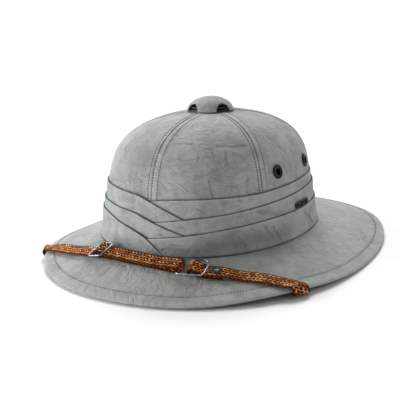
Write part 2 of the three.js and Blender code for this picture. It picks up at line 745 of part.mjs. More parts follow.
const TOP_START = lengthAtEntry(leftUnder.length + leftRim.length);
const TOP_END = lengthAtEntry(leftUnder.length + leftRim.length + topRun.length - 1);
const TOP_LENGTH = TOP_END - TOP_START;

// A flat path over and under round bars, in the plane of distance along the
// guide and height over it. Each stop is [s, height, reach]: the path keeps
// the reach to the stop, passing over it when positive and under it when
// negative, and turns round it.
function beltPath(stops) {
  const normals = [];
  for (let i = 0; i < stops.length - 1; i += 1) {
    const [s1, h1, r1] = stops[i];
    const [s2, h2, r2] = stops[i + 1];
    const away = Math.hypot(s2 - s1, h2 - h1);
    const heading = Math.atan2(h2 - h1, s2 - s1) + Math.asin((r2 - r1) / away);
    normals.push(heading + Math.PI / 2);
  }
  const path = [];
  stops.forEach(([s, h, r], i) => {
    const arrive = normals[Math.max(i - 1, 0)];
    const leave = normals[Math.min(i, normals.length - 1)];
    let turn = THREE.MathUtils.euclideanModulo(leave - arrive, 2 * Math.PI);
    if (r > 0 && turn > 0) turn -= 2 * Math.PI;
    if (Math.abs(turn) > 1.9 * Math.PI || r === 0) turn = 0;
    const steps = Math.max(1, Math.ceil(Math.abs(turn) / rad(32)));
    for (let k = 0; k <= (turn === 0 ? 0 : steps); k += 1) {
      const n = arrive + turn * k / steps;
      path.push([s + r * Math.cos(n), h + r * Math.sin(n)]);
    }
  });
  return path;
}

// Adds points to a path where it runs on for long or where its guide bends.
function refined(path) {
  const fine = [path[0]];
  for (let i = 1; i < path.length; i += 1) {
    const [s1, h1] = path[i - 1];
    const [s2, h2] = path[i];
    const length = Math.hypot(s2 - s1, h2 - h1);
    let placed = 0;
    for (let walked = 0.5; walked < length - 0.8; walked += 0.5) {
      const at = (distance) => s1 + (s2 - s1) * distance / length;
      const bend = guideAt(at(walked)).n.angleTo(guideAt(at(placed)).n);
      if (walked - placed > PATH_STEP || (bend > PATH_BEND && walked - placed > 0.9)) {
        fine.push([at(walked), h1 + (h2 - h1) * walked / length]);
        placed = walked;
      }
    }
    fine.push(path[i]);
  }
  return fine;
}

function ribbon(path, width, thickness) {
  const fine = refined(path);
  const places = fine.map(([s, h]) => {
    const g = guideAt(s);
    const side = g.side.clone();
    for (const frame of [slide, buckle]) {
      side.lerp(frame.side, smooth(1 - (Math.abs(s - frame.s) - frame.halfRun) / STRAP_WIDTH));
    }
    return { p: g.p.clone().addScaledVector(g.n, h), side };
  });
  const sections = places.map(({ p, side }, i) => {
    const before = places[Math.max(i - 1, 0)].p;
    const after = places[Math.min(i + 1, places.length - 1)].p;
    const into = p.clone().sub(before);
    const onward = after.clone().sub(p);
    const heading = into.clone().normalize().add(onward.clone().normalize()).normalize();
    const bend = into.lengthSq() > 0 && onward.lengthSq() > 0
      ? Math.sqrt((1 + into.normalize().dot(onward.normalize())) / 2) : 1;
    const up = heading.cross(side).normalize().multiplyScalar(thickness / 2 / Math.max(bend, 0.7));
    const across = side.clone().multiplyScalar(width / 2);
    return [
      p.clone().sub(across).add(up), p.clone().add(across).add(up),
      p.clone().add(across).sub(up), p.clone().sub(across).sub(up),
    ];
  });
  return runSolid(sections);
}

// Heights over the guide, from the layers that lie on each other
const LOW = GAP + STRAP_THICKNESS / 2;
const STACK = STRAP_THICKNESS + GAP;
const HIGH = LOW + STACK;
const CLASP = WIRE_RADIUS + GAP + FOLD_PLAY + STRAP_THICKNESS / 2;
const RIVETED = GAP + RIVET_FOOT_HEIGHT + GAP + STRAP_THICKNESS / 2;
const RIVETED_HIGH = RIVETED + STACK;

function frameAt(middle, length, heights) {
  const halfRun = length / 2 - WIRE_RADIUS;
  const start = guideAt(middle - halfRun);
  const end = guideAt(middle + halfRun);
  const a = start.p.clone().addScaledVector(start.n, heights[0]);
  const b = end.p.clone().addScaledVector(end.n, heights[1]);
  const centre = a.clone().lerp(b, 0.5);
  const base = guideAt(middle);
  const along = b.clone().sub(a).normalize();
  const side = base.side.clone().projectOnPlane(along).normalize();
  return {
    centre, along, side, s: middle, halfRun,
    halfWidth: STRAP_WIDTH / 2 + FRAME_SIDE_PLAY + WIRE_RADIUS,
    barHeight: centre.clone().sub(base.p).dot(base.n),
    barShift: centre.clone().sub(base.p).dot(base.t),
  };
}

const slide = frameAt(TOP_START + STRAP_SHARE_SLIDE * TOP_LENGTH, SLIDE_LENGTH, [LOW + CLASP, HIGH + CLASP]);
const buckle = frameAt(TOP_START + STRAP_SHARE_BUCKLE * TOP_LENGTH, BUCKLE_LENGTH,
  [LOW + CLASP, RIVETED_HIGH + CLASP]);

function wireFrame(frame) {
  const corner = FRAME_CORNER_RADIUS;
  const outline = [];
  const corners = [[1, 1, 0], [-1, 1, 90], [-1, -1, 180], [1, -1, 270]];
  for (const [u, w, turn] of corners) {
    for (let i = 0; i <= 3; i += 1) {
      const a = rad(turn + 30 * i);
      outline.push([u * (frame.halfRun - corner) + corner * Math.cos(a),
        w * (frame.halfWidth - corner) + corner * Math.sin(a)]);
    }
  }
  const up = frame.along.clone().cross(frame.side).normalize();
  const place = ([u, w]) => frame.centre.clone().addScaledVector(frame.along, u)
    .addScaledVector(frame.side, w);
  const sections = outline.map((q, i) => {
    const before = outline[(i + outline.length - 1) % outline.length];
    const after = outline[(i + 1) % outline.length];
    const heading = place(after).sub(place(before)).normalize();
    const outward = heading.clone().cross(up).normalize();
    return Array.from({ length: 8 }, (_, k) => {
      const a = rad(45 * k + 22.5);
      return place(q).addScaledVector(outward, WIRE_RADIUS * Math.cos(a)).addScaledVector(up, WIRE_RADIUS * Math.sin(a));
    });
  });
  const bar = pin(WIRE_RADIUS * 0.98, place([0, -frame.halfWidth]), place([0, frame.halfWidth]), 8);
  return join(ringSolid(sections), [bar]);
}

const RIVET_S = buckle.s + buckle.halfRun + RIVET_DISTANCE;

function strapHole(s, radius) {
  const g = guideAt(s);
  return pin(radius, g.p.clone().addScaledVector(g.n, -STRAP_THICKNESS), g.p.clone().addScaledVector(g.n, 6 * STRAP_THICKNESS));
}

function longStrap() {
  const path = beltPath([
    [0, LOW, 0],
    [slide.s - slide.halfRun - 6, LOW, 0],
    [slide.s - slide.halfRun, LOW + CLASP, -CLASP],
    [slide.s + slide.barShift, slide.barHeight, CLASP],
    [slide.s + slide.halfRun, HIGH + CLASP, -CLASP],
    [slide.s + slide.halfRun + 6, HIGH, 0],
    [buckle.s - buckle.halfRun - 18, HIGH, 0],
    [buckle.s - buckle.halfRun, LOW + CLASP, CLASP],
    [buckle.s - buckle.halfRun - 18, LOW, 0],
    [slide.s, LOW, 0],
  ]);
  return cut(ribbon(path, STRAP_WIDTH, STRAP_THICKNESS), [anchorHole(-1)]);
}

function shortStrap() {
  const path = beltPath([
    [GUIDE_LENGTH, LOW, 0],
    [RIVET_S + STRAP_TAIL + 12, LOW, 0],
    [RIVET_S + 4, RIVETED_HIGH, 0],
    [buckle.s + buckle.halfRun, RIVETED_HIGH, 0],
    [buckle.s + buckle.barShift, buckle.barHeight, -CLASP],
    [RIVET_S - 4, RIVETED, 0],
    [RIVET_S + STRAP_TAIL - 1, RIVETED, 0],
  ]);
  return cut(ribbon(path, STRAP_WIDTH, STRAP_THICKNESS),
    [anchorHole(1), strapHole(RIVET_S, RIVET_SHANK_RADIUS + GAP)]);
}

function rivet() {
  const g = guideAt(RIVET_S);
  const foot = RIVETED - STRAP_THICKNESS / 2 - GAP;
  const head = RIVETED_HIGH + STRAP_THICKNESS / 2 + GAP;
  const shape = new THREE.LatheGeometry([
    [0, foot - RIVET_FOOT_HEIGHT + 0.05], [RIVET_FOOT_RADIUS, foot - RIVET_FOOT_HEIGHT + 0.05],
    [RIVET_FOOT_RADIUS, foot], [RIVET_SHANK_RADIUS, foot], [RIVET_SHANK_RADIUS, head],
    [RIVET_HEAD_RADIUS, head], [RIVET_HEAD_RADIUS * 0.86, head + RIVET_HEAD_HEIGHT * 0.6],
    [RIVET_HEAD_RADIUS * 0.45, head + RIVET_HEAD_HEIGHT], [0, head + RIVET_HEAD_HEIGHT],
  ].map(([r, z]) => new THREE.Vector2(r, z)), 12).rotateX(Math.PI / 2);
  return aim(shape, g.p, g.n);
}

// Anchor pins through the strap's ends, the collar and the crown's wall
function anchorAngle(side) {
  const rimEnd = side < 0 ? STRAP_RIM_LEFT[1] : STRAP_RIM_RIGHT[1];
  return rad(rimEnd + side * STRAP_ANCHOR_TURN);
}

function anchorLine(side) {
  const h = ANCHOR_HEIGHT / CROWN_HEIGHT;
  const a = anchorAngle(side);
  return { p: crownPoint(a, h), n: crownNormal(a, h) };
}

function anchorHole(side) {
  const { p, n } = anchorLine(side);
  return pin(ANCHOR_SHANK_RADIUS + GAP, p.clone().addScaledVector(n, -16), p.clone().addScaledVector(n, 4));
}

function anchorPin(side) {
  const { p, n } = anchorLine(side);
  const strapFace = CROWN_WALL + GAP + COLLAR_WALL + STRAP_WALL_GAP + STRAP_THICKNESS;
  const shape = new THREE.LatheGeometry([
    [0, -strapFace - GAP - ANCHOR_HEAD_HEIGHT], [ANCHOR_HEAD_RADIUS, -strapFace - GAP - ANCHOR_HEAD_HEIGHT],
    [ANCHOR_HEAD_RADIUS, -strapFace - GAP], [ANCHOR_SHANK_RADIUS, -strapFace - GAP],
    [ANCHOR_SHANK_RADIUS, -0.2], [0, -0.2],
  ].map(([r, z]) => new THREE.Vector2(r, z)), 12).rotateX(Math.PI / 2);
  return aim(shape, p, n);
}

// Assembly
const hat = new THREE.Group();
const cloth = new THREE.MeshStandardMaterial({ color: 0x9aa09c, roughness: 0.85, metalness: 0 });
const clothDark = new THREE.MeshStandardMaterial({ color: 0x8d928f, roughness: 0.85, metalness: 0 });
const leather = new THREE.MeshStandardMaterial({ color: 0xb06a34, roughness: 0.6, metalness: 0 });
const steel = new THREE.MeshStandardMaterial({ color: 0xb8bcc2, roughness: 0.25, metalness: 1 });
const darkMetal = new THREE.MeshStandardMaterial({ color: 0x26282b, roughness: 0.4, metalness: 0.6 });
const blackPlastic = new THREE.MeshStandardMaterial({ color: 0x141414, roughness: 0.6, metalness: 0 });

function add(name, geometry, material) {
  const mesh = new THREE.Mesh(geometry, material);
  mesh.name = name;
  hat.add(mesh);
}

const sides = { left: 1, right: -1 };
const eyelets = [];
for (const [sideName, side] of Object.entries(sides)) {
  for (const [endName, degrees] of Object.entries(EYELET_ANGLES)) {
    eyelets.push({ name: `eyelet_${sideName}_${endName}`, angle: rad(side * degrees) });
  }
}

const anchorHoles = Object.values(sides).map(anchorHole);
add('crown', cut(ringSolid(stations.map(crownSection)), [
  ...eyelets.map(({ angle }) => crownHole(angle, EYELET_HEIGHT, EYELET_TUBE_RADIUS + GAP)),
  ...anchorHoles,
]), cloth);
add('brim', cut(ringSolid(stations.map(brimSection)), anchorHoles), cloth);
add('brim_binding', ringSolid(stations.map(bindingSection)), clothDark);
PLEAT_NAMES.forEach((name, k) => add(name, pleat(k), cloth));
add('vent_core', ventCore(), blackPlastic);
add('vent_cap', ventCap(), cloth);
for (const { name, angle } of eyelets) add(name, eyelet(angle), darkMetal);
add('metal_tab', metalTab(), darkMetal);
add('strap_long', longStrap(), leather);
add('strap_short', shortStrap(), leather);
add('slide_buckle', wireFrame(slide), steel);
add('ring_buckle', wireFrame(buckle), steel);
add('strap_rivet', rivet(), steel);
add('strap_anchor_left', anchorPin(1), darkMetal);
add('strap_anchor_right', anchorPin(-1), darkMetal);

export default hat;
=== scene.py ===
# Looks of a cloth-covered pith helmet with a pleated band, a vent cap and a braided leather chin strap.
# Lengths are millimetres until a mesh is made. The front faces -Y and the wearer's left is +X.
import math

import bpy
import numpy as np
from mathutils import Matrix, Vector


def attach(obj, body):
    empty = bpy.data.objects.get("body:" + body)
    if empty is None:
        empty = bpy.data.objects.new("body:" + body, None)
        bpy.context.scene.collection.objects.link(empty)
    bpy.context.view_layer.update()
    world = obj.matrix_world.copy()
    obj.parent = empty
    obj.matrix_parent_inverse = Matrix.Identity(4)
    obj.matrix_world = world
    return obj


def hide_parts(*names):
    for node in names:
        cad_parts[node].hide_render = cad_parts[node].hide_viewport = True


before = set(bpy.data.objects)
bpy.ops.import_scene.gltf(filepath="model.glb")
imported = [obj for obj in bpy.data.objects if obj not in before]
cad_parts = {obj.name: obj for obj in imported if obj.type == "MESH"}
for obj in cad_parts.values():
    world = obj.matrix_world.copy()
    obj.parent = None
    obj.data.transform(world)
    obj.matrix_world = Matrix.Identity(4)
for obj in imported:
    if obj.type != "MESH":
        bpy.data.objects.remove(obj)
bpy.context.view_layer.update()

MM = 0.001

# Sizes repeated from the CAD part
GAP = 0.3
BRIM_WIDTH = 294
BRIM_FRONT_REACH = 167.7
BRIM_REAR_REACH = 199.1
BRIM_SQUARENESS = 2.14
BRIM_THICKNESS = 2.2
BRIM_EDGE_THICKNESS = 1
BRIM_DISH = 0.25
RIM_FRONT_LIFT = 4.4
RIM_FRONT_PLACE = 54
RIM_FRONT_SPAN = 36
RIM_REAR_LIFT = 1.8
RIM_REAR_PLACE = 130
RIM_REAR_SPAN = 32
COLLAR_WALL = 1.8
COLLAR_HEIGHT = 24
BINDING_WIDTH = 10
BINDING_WALL = 1.1
BINDING_FOOT = 2
JUNCTION_HEIGHT = 25.4
CROWN_HEIGHT = 103.1
CROWN_WIDTH = 175.4
CROWN_FRONT_REACH = 105.7
CROWN_REAR_REACH = 102.3
CROWN_FORWARD = 6.2
CROWN_LEAN = 1.9
CROWN_SQUARENESS = 2.17
CROWN_SHOULDER = 5.16
CROWN_ROUNDNESS = 2.31
CROWN_TAPER = 0.06
CROWN_WALL = 2.4
BAND_HEIGHT = 46
PLEAT_THICKNESS = 1
PLEAT_GAP = 0.4
PLEAT_TUCK = 6
PLEAT_FLARE = 1.4
PLEAT_EASE_HEIGHT = 14
PLEAT_EASE_ANGLE = 12
VENT_TUBE_RADIUS = 12
VENT_TUBE_WALL = 2
VENT_RIB_COUNT = 3
VENT_FLANGE_RADIUS = 16
VENT_FLANGE_THICKNESS = 1.2
CAP_RADIUS = 21
CAP_HEIGHT = 12.8
CAP_WALL = 1.4
CAP_ARCH_WIDTH = 15.2
CAP_ARCH_HEIGHT = 6.9
CAP_ARCH_COUNT = 4
CAP_TURN = 21
EYELET_HEIGHT = 58.1
EYELET_ANGLES = {"front": 75, "rear": 104}
EYELET_FLANGE_RADIUS = 6
EYELET_TUBE_RADIUS = 3.7
EYELET_HOLE_RADIUS = 2.9
EYELET_WASHER_RADIUS = 4.9
EYELET_FLANGE_THICKNESS = 1
EYELET_INNER_PLAY = 0.8
TAB_LENGTH = 22
TAB_HEIGHT = 6
TAB_THICKNESS = 0.9
TAB_ANGLE = 90.3
STRAP_WIDTH = 15
STRAP_THICKNESS = 2.2
STRAP_UNDER_GAP = 0.9
STRAP_WALL_GAP = 0.85
STRAP_CORNER_PLAY = 0.6
FOLD_PLAY = 0.2
WIRE_RADIUS = 1
FRAME_SIDE_PLAY = 1
FRAME_CORNER_RADIUS = 2.6
RIVET_HEAD_RADIUS = 3.5
RIVET_HEAD_HEIGHT = 1.2
RIVET_FOOT_RADIUS = 2.6
RIVET_SHANK_RADIUS = 1.2
STRAP_TAIL = 7
ANCHOR_HEIGHT = 13
ANCHOR_HEAD_RADIUS = 4
ANCHOR_HEAD_HEIGHT = 1.2
ANCHOR_SHANK_RADIUS = 1.5

# Sizes that this scene sets apart from the CAD part, most of them fitted to the photograph
SEWN_GAP = 0.1
SHOWN_STRAP_WIDTH = 13.2
STRAP_LEFT_PLAY = 0.9
STRAP_RIGHT_PLAY = 1.5
STRAP_SHARE_SLIDE = 0.333
STRAP_SHARE_BUCKLE = 0.704
STRAP_SLANT_LIMIT = 0.8
SHOWN_WIRE_RADIUS = 0.8
SLIDE_LENGTH = 18.5
SLIDE_FAR_CORNER = 4.6
BUCKLE_LENGTH = 24.5
BUCKLE_FAR_CORNER = 4.4
RIVET_FOOT_HEIGHT = 0.4
RIVET_PLAY = 0.15
RIVET_DISTANCE = 7.4

# Top edges of the three pleats, each as (degrees round from the front, share of the band's height)
RIGHT_TOPS = [
    [(-16, 0.885), (0, 0.913), (13, 0.955), (28, 0.966), (62, 0.963), (83, 0.983), (100, 0.991),
     (140, 1), (180, 1)],
    [(-12, 0.505), (4.6, 0.557), (18.8, 0.622), (31.6, 0.656), (46, 0.696), (62, 0.74), (80, 0.774),
     (96, 0.797), (113, 0.808), (180, 0.809)],
    [(-10, 0.213), (0, 0.257), (11, 0.315), (20, 0.35), (31, 0.393), (46, 0.44), (61, 0.474),
     (78, 0.48), (99, 0.477), (114, 0.472), (180, 0.47)],
]
LEFT_TOPS = [
    [(-180, 1), (-140, 1), (-90, 1.03), (-50, 1.05), (-34, 1.05), (-22, 1.037), (-12, 1.015),
     (-5, 0.985), (0.4, 0.913), (7.8, 0.8), (19.3, 0.62), (24, 0.545)],
    [(-180, 0.809), (-140, 0.8), (-90, 0.774), (-50, 0.752), (-33, 0.743), (-26, 0.735),
     (-13.6, 0.715), (-5.3, 0.675), (3, 0.562), (11, 0.458), (19.4, 0.348), (24, 0.288)],
    [(-180, 0.47), (-140, 0.48), (-90, 0.52), (-50, 0.552), (-33, 0.55), (-24, 0.517), (-12, 0.448),
     (-1.3, 0.315), (3.4, 0.18), (8, 0.03)],
]
PLEAT_NAMES = ["band_pleat_upper", "band_pleat_middle", "band_pleat_lower"]

# Chin strap route over the brim, fitted to the photograph, as (degrees round from the front,
# share of the way to the rim, lift off the brim)
STRAP_ROUTE_TOP = [
    (-52, 0.92, 0), (-47, 0.757, 0.3), (-38, 0.565, 1), (-31, 0.45, 1.6), (-20, 0.33, 1.8),
    (-12, 0.27, 1.5), (-4, 0.26, 1.2), (5, 0.272, 0.9), (14.4, 0.313, 0.6), (22, 0.375, 0.2),
    (30, 0.455, 0), (37, 0.52, 0), (43.5, 0.608, 0), (49.4, 0.735, 0), (53.9, 0.87, 0),
]
STRAP_RIM_LEFT = (-54, -56)
STRAP_RIM_RIGHT = (57, 59)
STRAP_UNDER_SHARES = (0.86, 0.6, 0.35, 0.12)
STRAP_UNDER_TURN = (1.5, 5, 8, 10.5)
STRAP_ANCHOR_TURN = 12

WIDEST_Y = (BRIM_FRONT_REACH - BRIM_REAR_REACH) / 2
CROWN_Y = WIDEST_Y - CROWN_FORWARD
RIM_THICKNESS = BRIM_EDGE_THICKNESS + 2 * (GAP + BINDING_WALL)
LAYER = PLEAT_THICKNESS + PLEAT_GAP
APEX_Y = CROWN_Y + CROWN_LEAN
APEX_Z = JUNCTION_HEIGHT + CROWN_HEIGHT

# Stitches. A seam's outer rows lie at these distances across from its middle row.
SEAM_ROWS = (-3.4, 5.4)
STITCH_PITCH = 2.3
SEAM_STITCH_LENGTH = 0.55 * STITCH_PITCH
SEAM_STITCH_RADIUS = 0.32
MIDDLE_STITCH_RADIUS = 0.5
BINDING_STITCH_LENGTH = 0.45 * STITCH_PITCH
BINDING_STITCH_RADIUS = 0.36
BINDING_STITCH_INSET = BINDING_WIDTH - 1.2
BINDING_STITCH_SINK = 0.72

# Small steps for slopes, the halvings of a search, and the radius at a lathe profile's tip
ANGLE_STEP = 0.01
SHARE_STEP = 0.002
HALVINGS = 40
LATHE_TIP = 0.01


def smooth(value):
    x = np.clip(value, 0, 1)
    return x * x * (3 - 2 * x)


def lerp(a, b, share):
    return a + (b - a) * share


def unit(v):
    return v / np.linalg.norm(v, axis=-1, keepdims=True)


def dot(a, b):
    return (a * b).sum(-1, keepdims=True)


def xyz(x, y, z):
    return np.stack(np.broadcast_arrays(x, y, z), -1).astype(float)


def with_z(p, z):
    return xyz(p[..., 0], p[..., 1], z)


def table_at(table, position):
    """Smooth curve through a table of (position, value), level past its ends."""
    xs, ys = (np.array(column, float) for column in zip(*table))
    before = np.maximum(np.arange(len(xs)) - 1, 0)
    after = np.minimum(np.arange(len(xs)) + 1, len(xs) - 1)
    slopes = (ys[after] - ys[before]) / (xs[after] - xs[before])
    at = np.clip(position, xs[0], xs[-1])
    i = np.clip(np.searchsorted(xs, at, side="right") - 1, 0, len(xs) - 2)
    span = xs[i + 1] - xs[i]
    x = (at - xs[i]) / span
    rise = ys[i + 1] - ys[i]
    ease_in = slopes[i] * span
    ease_out = slopes[i + 1] * span
    return ys[i] + x * (ease_in + x * (3 * rise - 2 * ease_in - ease_out
                                       + x * (ease_in + ease_out - 2 * rise)))


def oval(angle, half_width, front, rear, power):
    s = np.sin(angle)
    c = np.cos(angle)
    reach = np.where(c >= 0, front, rear)
    x = half_width * np.sign(s) * np.abs(s) ** (2 / power)
    y = -reach * np.sign(c) * np.abs(c) ** (2 / power)
    return x, y


# Crown surface, h 0 at the brim and 1 at the top
def crown_size(h):
    return (1 - h ** CROWN_SHOULDER) ** (1 / CROWN_ROUNDNESS) * (1 - CROWN_TAPER * h)


def crown_point(angle, h):
    angle, h = np.broadcast_arrays(angle, h)
    size = crown_size(h)
    x, y = oval(angle, CROWN_WIDTH / 2, CROWN_FRONT_REACH, CROWN_REAR_REACH, CROWN_SQUARENESS)
    return xyz(x * size, y * size + CROWN_Y + CROWN_LEAN * h, JUNCTION_HEIGHT + CROWN_HEIGHT * h)


def crown_normal(angle, h):
    angle, h = np.broadcast_arrays(angle, h)
    s = np.sin(angle)
    c = np.cos(angle)
    power = 2 - 2 / CROWN_SQUARENESS
    reach = np.where(c >= 0, CROWN_FRONT_REACH, CROWN_REAR_REACH)
    nx = np.sign(s) * np.abs(s) ** power / (CROWN_WIDTH / 2)
    ny = -np.sign(c) * np.abs(c) ** power / reach
    left = np.maximum(1 - h ** CROWN_SHOULDER, 1e-9)
    change = (-CROWN_SHOULDER / CROWN_ROUNDNESS * h ** (CROWN_SHOULDER - 1)
              * left ** (1 / CROWN_ROUNDNESS - 1) * (1 - CROWN_TAPER * h)
              - CROWN_TAPER * left ** (1 / CROWN_ROUNDNESS))
    return unit(xyz(nx, ny, -change / CROWN_HEIGHT - ny * CROWN_LEAN / CROWN_HEIGHT))


def crown_offset(angle, h, distance):
    return crown_point(angle, h) + crown_normal(angle, h) * np.asarray(distance, float)[..., None]


def crown_height_at_radius(angle, radius):
    low = np.full(np.shape(angle), 0.5)
    high = np.ones(np.shape(angle))
    for _ in range(HALVINGS):
        h = (low + high) / 2
        p = crown_point(angle, h)
        outside = np.hypot(p[..., 0], p[..., 1] - APEX_Y) > radius
        low = np.where(outside, h, low)
        high = np.where(outside, high, h)
    return low


# Brim surface, share 0 at the crown and 1 at the rim
def bump(degrees, centre, half_span, height):
    away = np.minimum(np.abs(degrees - centre) / half_span, 1)
    return height * np.cos(away * np.pi / 2) ** 2


def rim_lift(angle):
    turned = np.abs((np.degrees(angle) + 180) % 360 - 180)
    return (bump(turned, RIM_FRONT_PLACE, RIM_FRONT_SPAN, RIM_FRONT_LIFT)
            + bump(turned, RIM_REAR_PLACE, RIM_REAR_SPAN, RIM_REAR_LIFT))


def rim_outline(angle):
    x, y = oval(angle, BRIM_WIDTH / 2, BRIM_FRONT_REACH, BRIM_REAR_REACH, BRIM_SQUARENESS)
    return xyz(x, y + WIDEST_Y, 0)


def brim_reach(angle):
    away = rim_outline(angle) - crown_point(angle, 0)
    return np.hypot(away[..., 0], away[..., 1])


def brim_drop(angle):
    return JUNCTION_HEIGHT - BRIM_THICKNESS / 2 - RIM_THICKNESS / 2 - rim_lift(angle)


def brim_point(angle, share, above=0):
    angle, share, above = np.broadcast_arrays(angle, share, above)
    inner = crown_point(angle, 0)
    outer = rim_outline(angle)
    fall = share * (1 - BRIM_DISH) + BRIM_DISH * share * share
    flat = lerp(inner, outer, share[..., None])
    return with_z(flat, JUNCTION_HEIGHT - BRIM_THICKNESS / 2 - brim_drop(angle) * fall + above)


def brim_inset(angle, inset, above=0):
    return brim_point(angle, 1 - inset / brim_reach(angle), above)


def brim_normal(angle, share):
    step = SHARE_STEP
    across = brim_point(angle, share + step) - brim_point(angle, share - step)
    along = brim_point(angle + step, share) - brim_point(angle - step, share)
    n = unit(np.cross(across, along))
    return np.where(n[..., 2:] < 0, -n, n)


# Repeatable noise for the soft unevenness of cloth
def lattice(i, j, k, seed):
    mixed = (i * 374761393 + j * 668265263 + k * 2147483647 + seed * 974711) & 0xFFFFFFFF
    mixed = ((mixed ^ (mixed >> 13)) * 1274126177) & 0xFFFFFFFF
    return ((mixed ^ (mixed >> 16)) & 0xFFFF) / 0x7FFF - 1


def noise(points, size, seed):
    """Smooth noise from -1 to 1 over points in millimetres, with features about one size wide."""
    q = points / size
    base = np.floor(q).astype(np.int64)
    f = q - base
    f = f * f * f * (f * (f * 6 - 15) + 10)
    total = 0
    for corner in range(8):
        step = np.array([corner & 1, corner >> 1 & 1, corner >> 2 & 1])
        weight = np.prod(np.where(step, f, 1 - f), axis=-1)
        cell = base + step
        total = total + weight * lattice(cell[..., 0], cell[..., 1], cell[..., 2], seed)
    return total


# Meshes
def grid_faces(count, size, around, section_closed):
    i = np.arange(count if around else count - 1)[:, None]
    k = np.arange(size if section_closed else size - 1)[None, :]
    j = (i + 1) % count
    m = (k + 1) % size
    corners = (i * size + k, j * size + k, j * size + m, i * size + m)
    return np.stack(np.broadcast_arrays(*corners), -1).reshape(-1, 4)


def add_attribute(mesh, name, values):
    layer = mesh.attributes.new(name, "FLOAT", "POINT")
    layer.data.foreach_set("value", np.ascontiguousarray(values, np.float32).ravel())


def mesh_piece(name, points, faces, attributes=None):
    mesh = bpy.data.meshes.new(name)
    mesh.from_pydata((np.asarray(points).reshape(-1, 3) * MM).tolist(), [], faces)
    for key, values in (attributes or {}).items():
        add_attribute(mesh, key, values)
    mesh.shade_smooth()
    mesh.validate()
    obj = bpy.data.objects.new(name, mesh)
    bpy.context.scene.collection.objects.link(obj)
    return obj


def volume_sign(points, faces):
    quads = np.asarray(faces)
    a, b, c, d = (points[quads[:, n]] for n in range(4))
    return np.sign((np.cross(a, b) * c).sum() + (np.cross(a, c) * d).sum())


def end_caps(count, size):
    """The two faces that close a run of sections at its ends."""
    return [list(range(size))[::-1], list(range((count - 1) * size, count * size))]


def outward_faces(points, faces, caps=()):
    """Faces and caps as lists, turned so that they face away from the inside."""
    if volume_sign(points, faces) < 0:
        faces = faces[:, ::-1]
        caps = [cap[::-1] for cap in caps]
    return faces.tolist() + list(caps)


def closed_piece(name, points, around, attributes=None):
    """A grid of sections, each closed on itself. Where the run isn't closed, its ends are capped."""
    count, size = points.shape[:2]
    flat = points.reshape(-1, 3)
    caps = () if around else end_caps(count, size)
    faces = outward_faces(flat, grid_faces(count, size, around, True), caps)
    return mesh_piece(name, flat, faces, attributes)


def lathe_piece(name, profile, segments, position, direction=(0, 0, 1)):
    """A closed profile of (radius, height) turned round a direction through a position."""
    axis = unit(np.array(direction, float))
    side = unit(np.cross(axis, (1, 0, 0) if abs(axis[0]) < 0.9 else (0, 1, 0)))
    other = np.cross(axis, side)
    angle = np.linspace(0, 2 * np.pi, segments, endpoint=False)[:, None, None]
    r, z = (np.array(column, float)[None, :, None] for column in zip(*profile))
    points = np.array(position, float) + r * (np.cos(angle) * side + np.sin(angle) * other) + z * axis
    return closed_piece(name, points, True)


def rounded_profile(corners, radius, steps):
    """Outline through corners, each rounded by a radius that its sides allow."""
    outline = []
    corners = [np.array(c, float) for c in corners]
    for i, c in enumerate(corners):
        before = corners[i - 1] - c
        after = corners[(i + 1) % len(corners)] - c
        reach = min(radius, 0.45 * np.linalg.norm(before), 0.45 * np.linalg.norm(after))
        a = c + before / np.linalg.norm(before) * reach
        b = c + after / np.linalg.norm(after) * reach
        for k in range(steps + 1):
            t = k / steps
            outline.append(tuple((1 - t) ** 2 * a + 2 * t * (1 - t) * c + t * t * b))
    return outline


def arc_lengths(points):
    steps = np.linalg.norm(np.diff(points, axis=0), axis=-1)
    return np.concatenate([[0], np.cumsum(steps)])


def finish_piece(obj, node, material):
    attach(obj, "root")
    if node:
        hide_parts(node)
    obj.data.materials.clear()
    obj.data.materials.append(material)
    return obj


# Stitches, each a short thread that dips into the cloth at both ends
def stitch_row(points, normals, pitch, length, radius):
    """Threads along a line of points. Returns their points and faces."""
    s = arc_lengths(points)
    count = int(s[-1] / pitch)
    starts = (np.arange(count) + 0.5) * s[-1] / count
    ring = np.linspace(0, 2 * np.pi, 6, endpoint=False)
    stations = np.array([-0.5, -0.3, 0, 0.3, 0.5])
    thickness = np.array([0.45, 0.9, 1, 0.9, 0.45])
    sink = np.array([-0.9, 0.05, 0.35, 0.05, -0.9])

    def at(position, values):
        return np.stack([np.interp(position, s, values[:, n]) for n in range(3)], -1)

    place = starts[:, None] + stations[None, :] * length
    centre = at(place, points)
    up = unit(at(place, normals))
    along = unit(at(place + 0.2, points) - at(place - 0.2, points))
    side = np.cross(along, up)
    centre = centre + up * (sink * radius)[None, :, None]
    r = (thickness * radius)[None, :, None, None]
    around = (np.cos(ring)[None, None, :, None] * side[:, :, None, :]
              + np.sin(ring)[None, None, :, None] * up[:, :, None, :])
    verts = (centre[:, :, None, :] + r * around).reshape(-1, 3)
    one = grid_faces(len(stations), len(ring), False, True)
    size = len(stations) * len(ring)
    faces = (one[None] + (np.arange(count) * size)[:, None, None]).reshape(-1, 4).tolist()
    for n in range(count):
        first = n * size
        last = first + size - len(ring)
        faces.append([first + m for m in range(len(ring))][::-1])
        faces.append([last + m for m in range(len(ring))])
    return verts, faces


def stitch_piece(name, rows, material):
    verts = []
    faces = []
    total = 0
    for row_verts, row_faces in rows:
        verts.append(row_verts)
        faces.extend([[n + total for n in face] for face in row_faces])
        total += len(row_verts)
    obj = mesh_piece(name, np.concatenate(verts), faces)
    finish_piece(obj, None, material)


# Shader node helpers. The Mix node repeats its socket names, so its colour sockets go by number.
MIX_COLOR_A = 6
MIX_COLOR_B = 7
MIX_COLOR_RESULT = 2


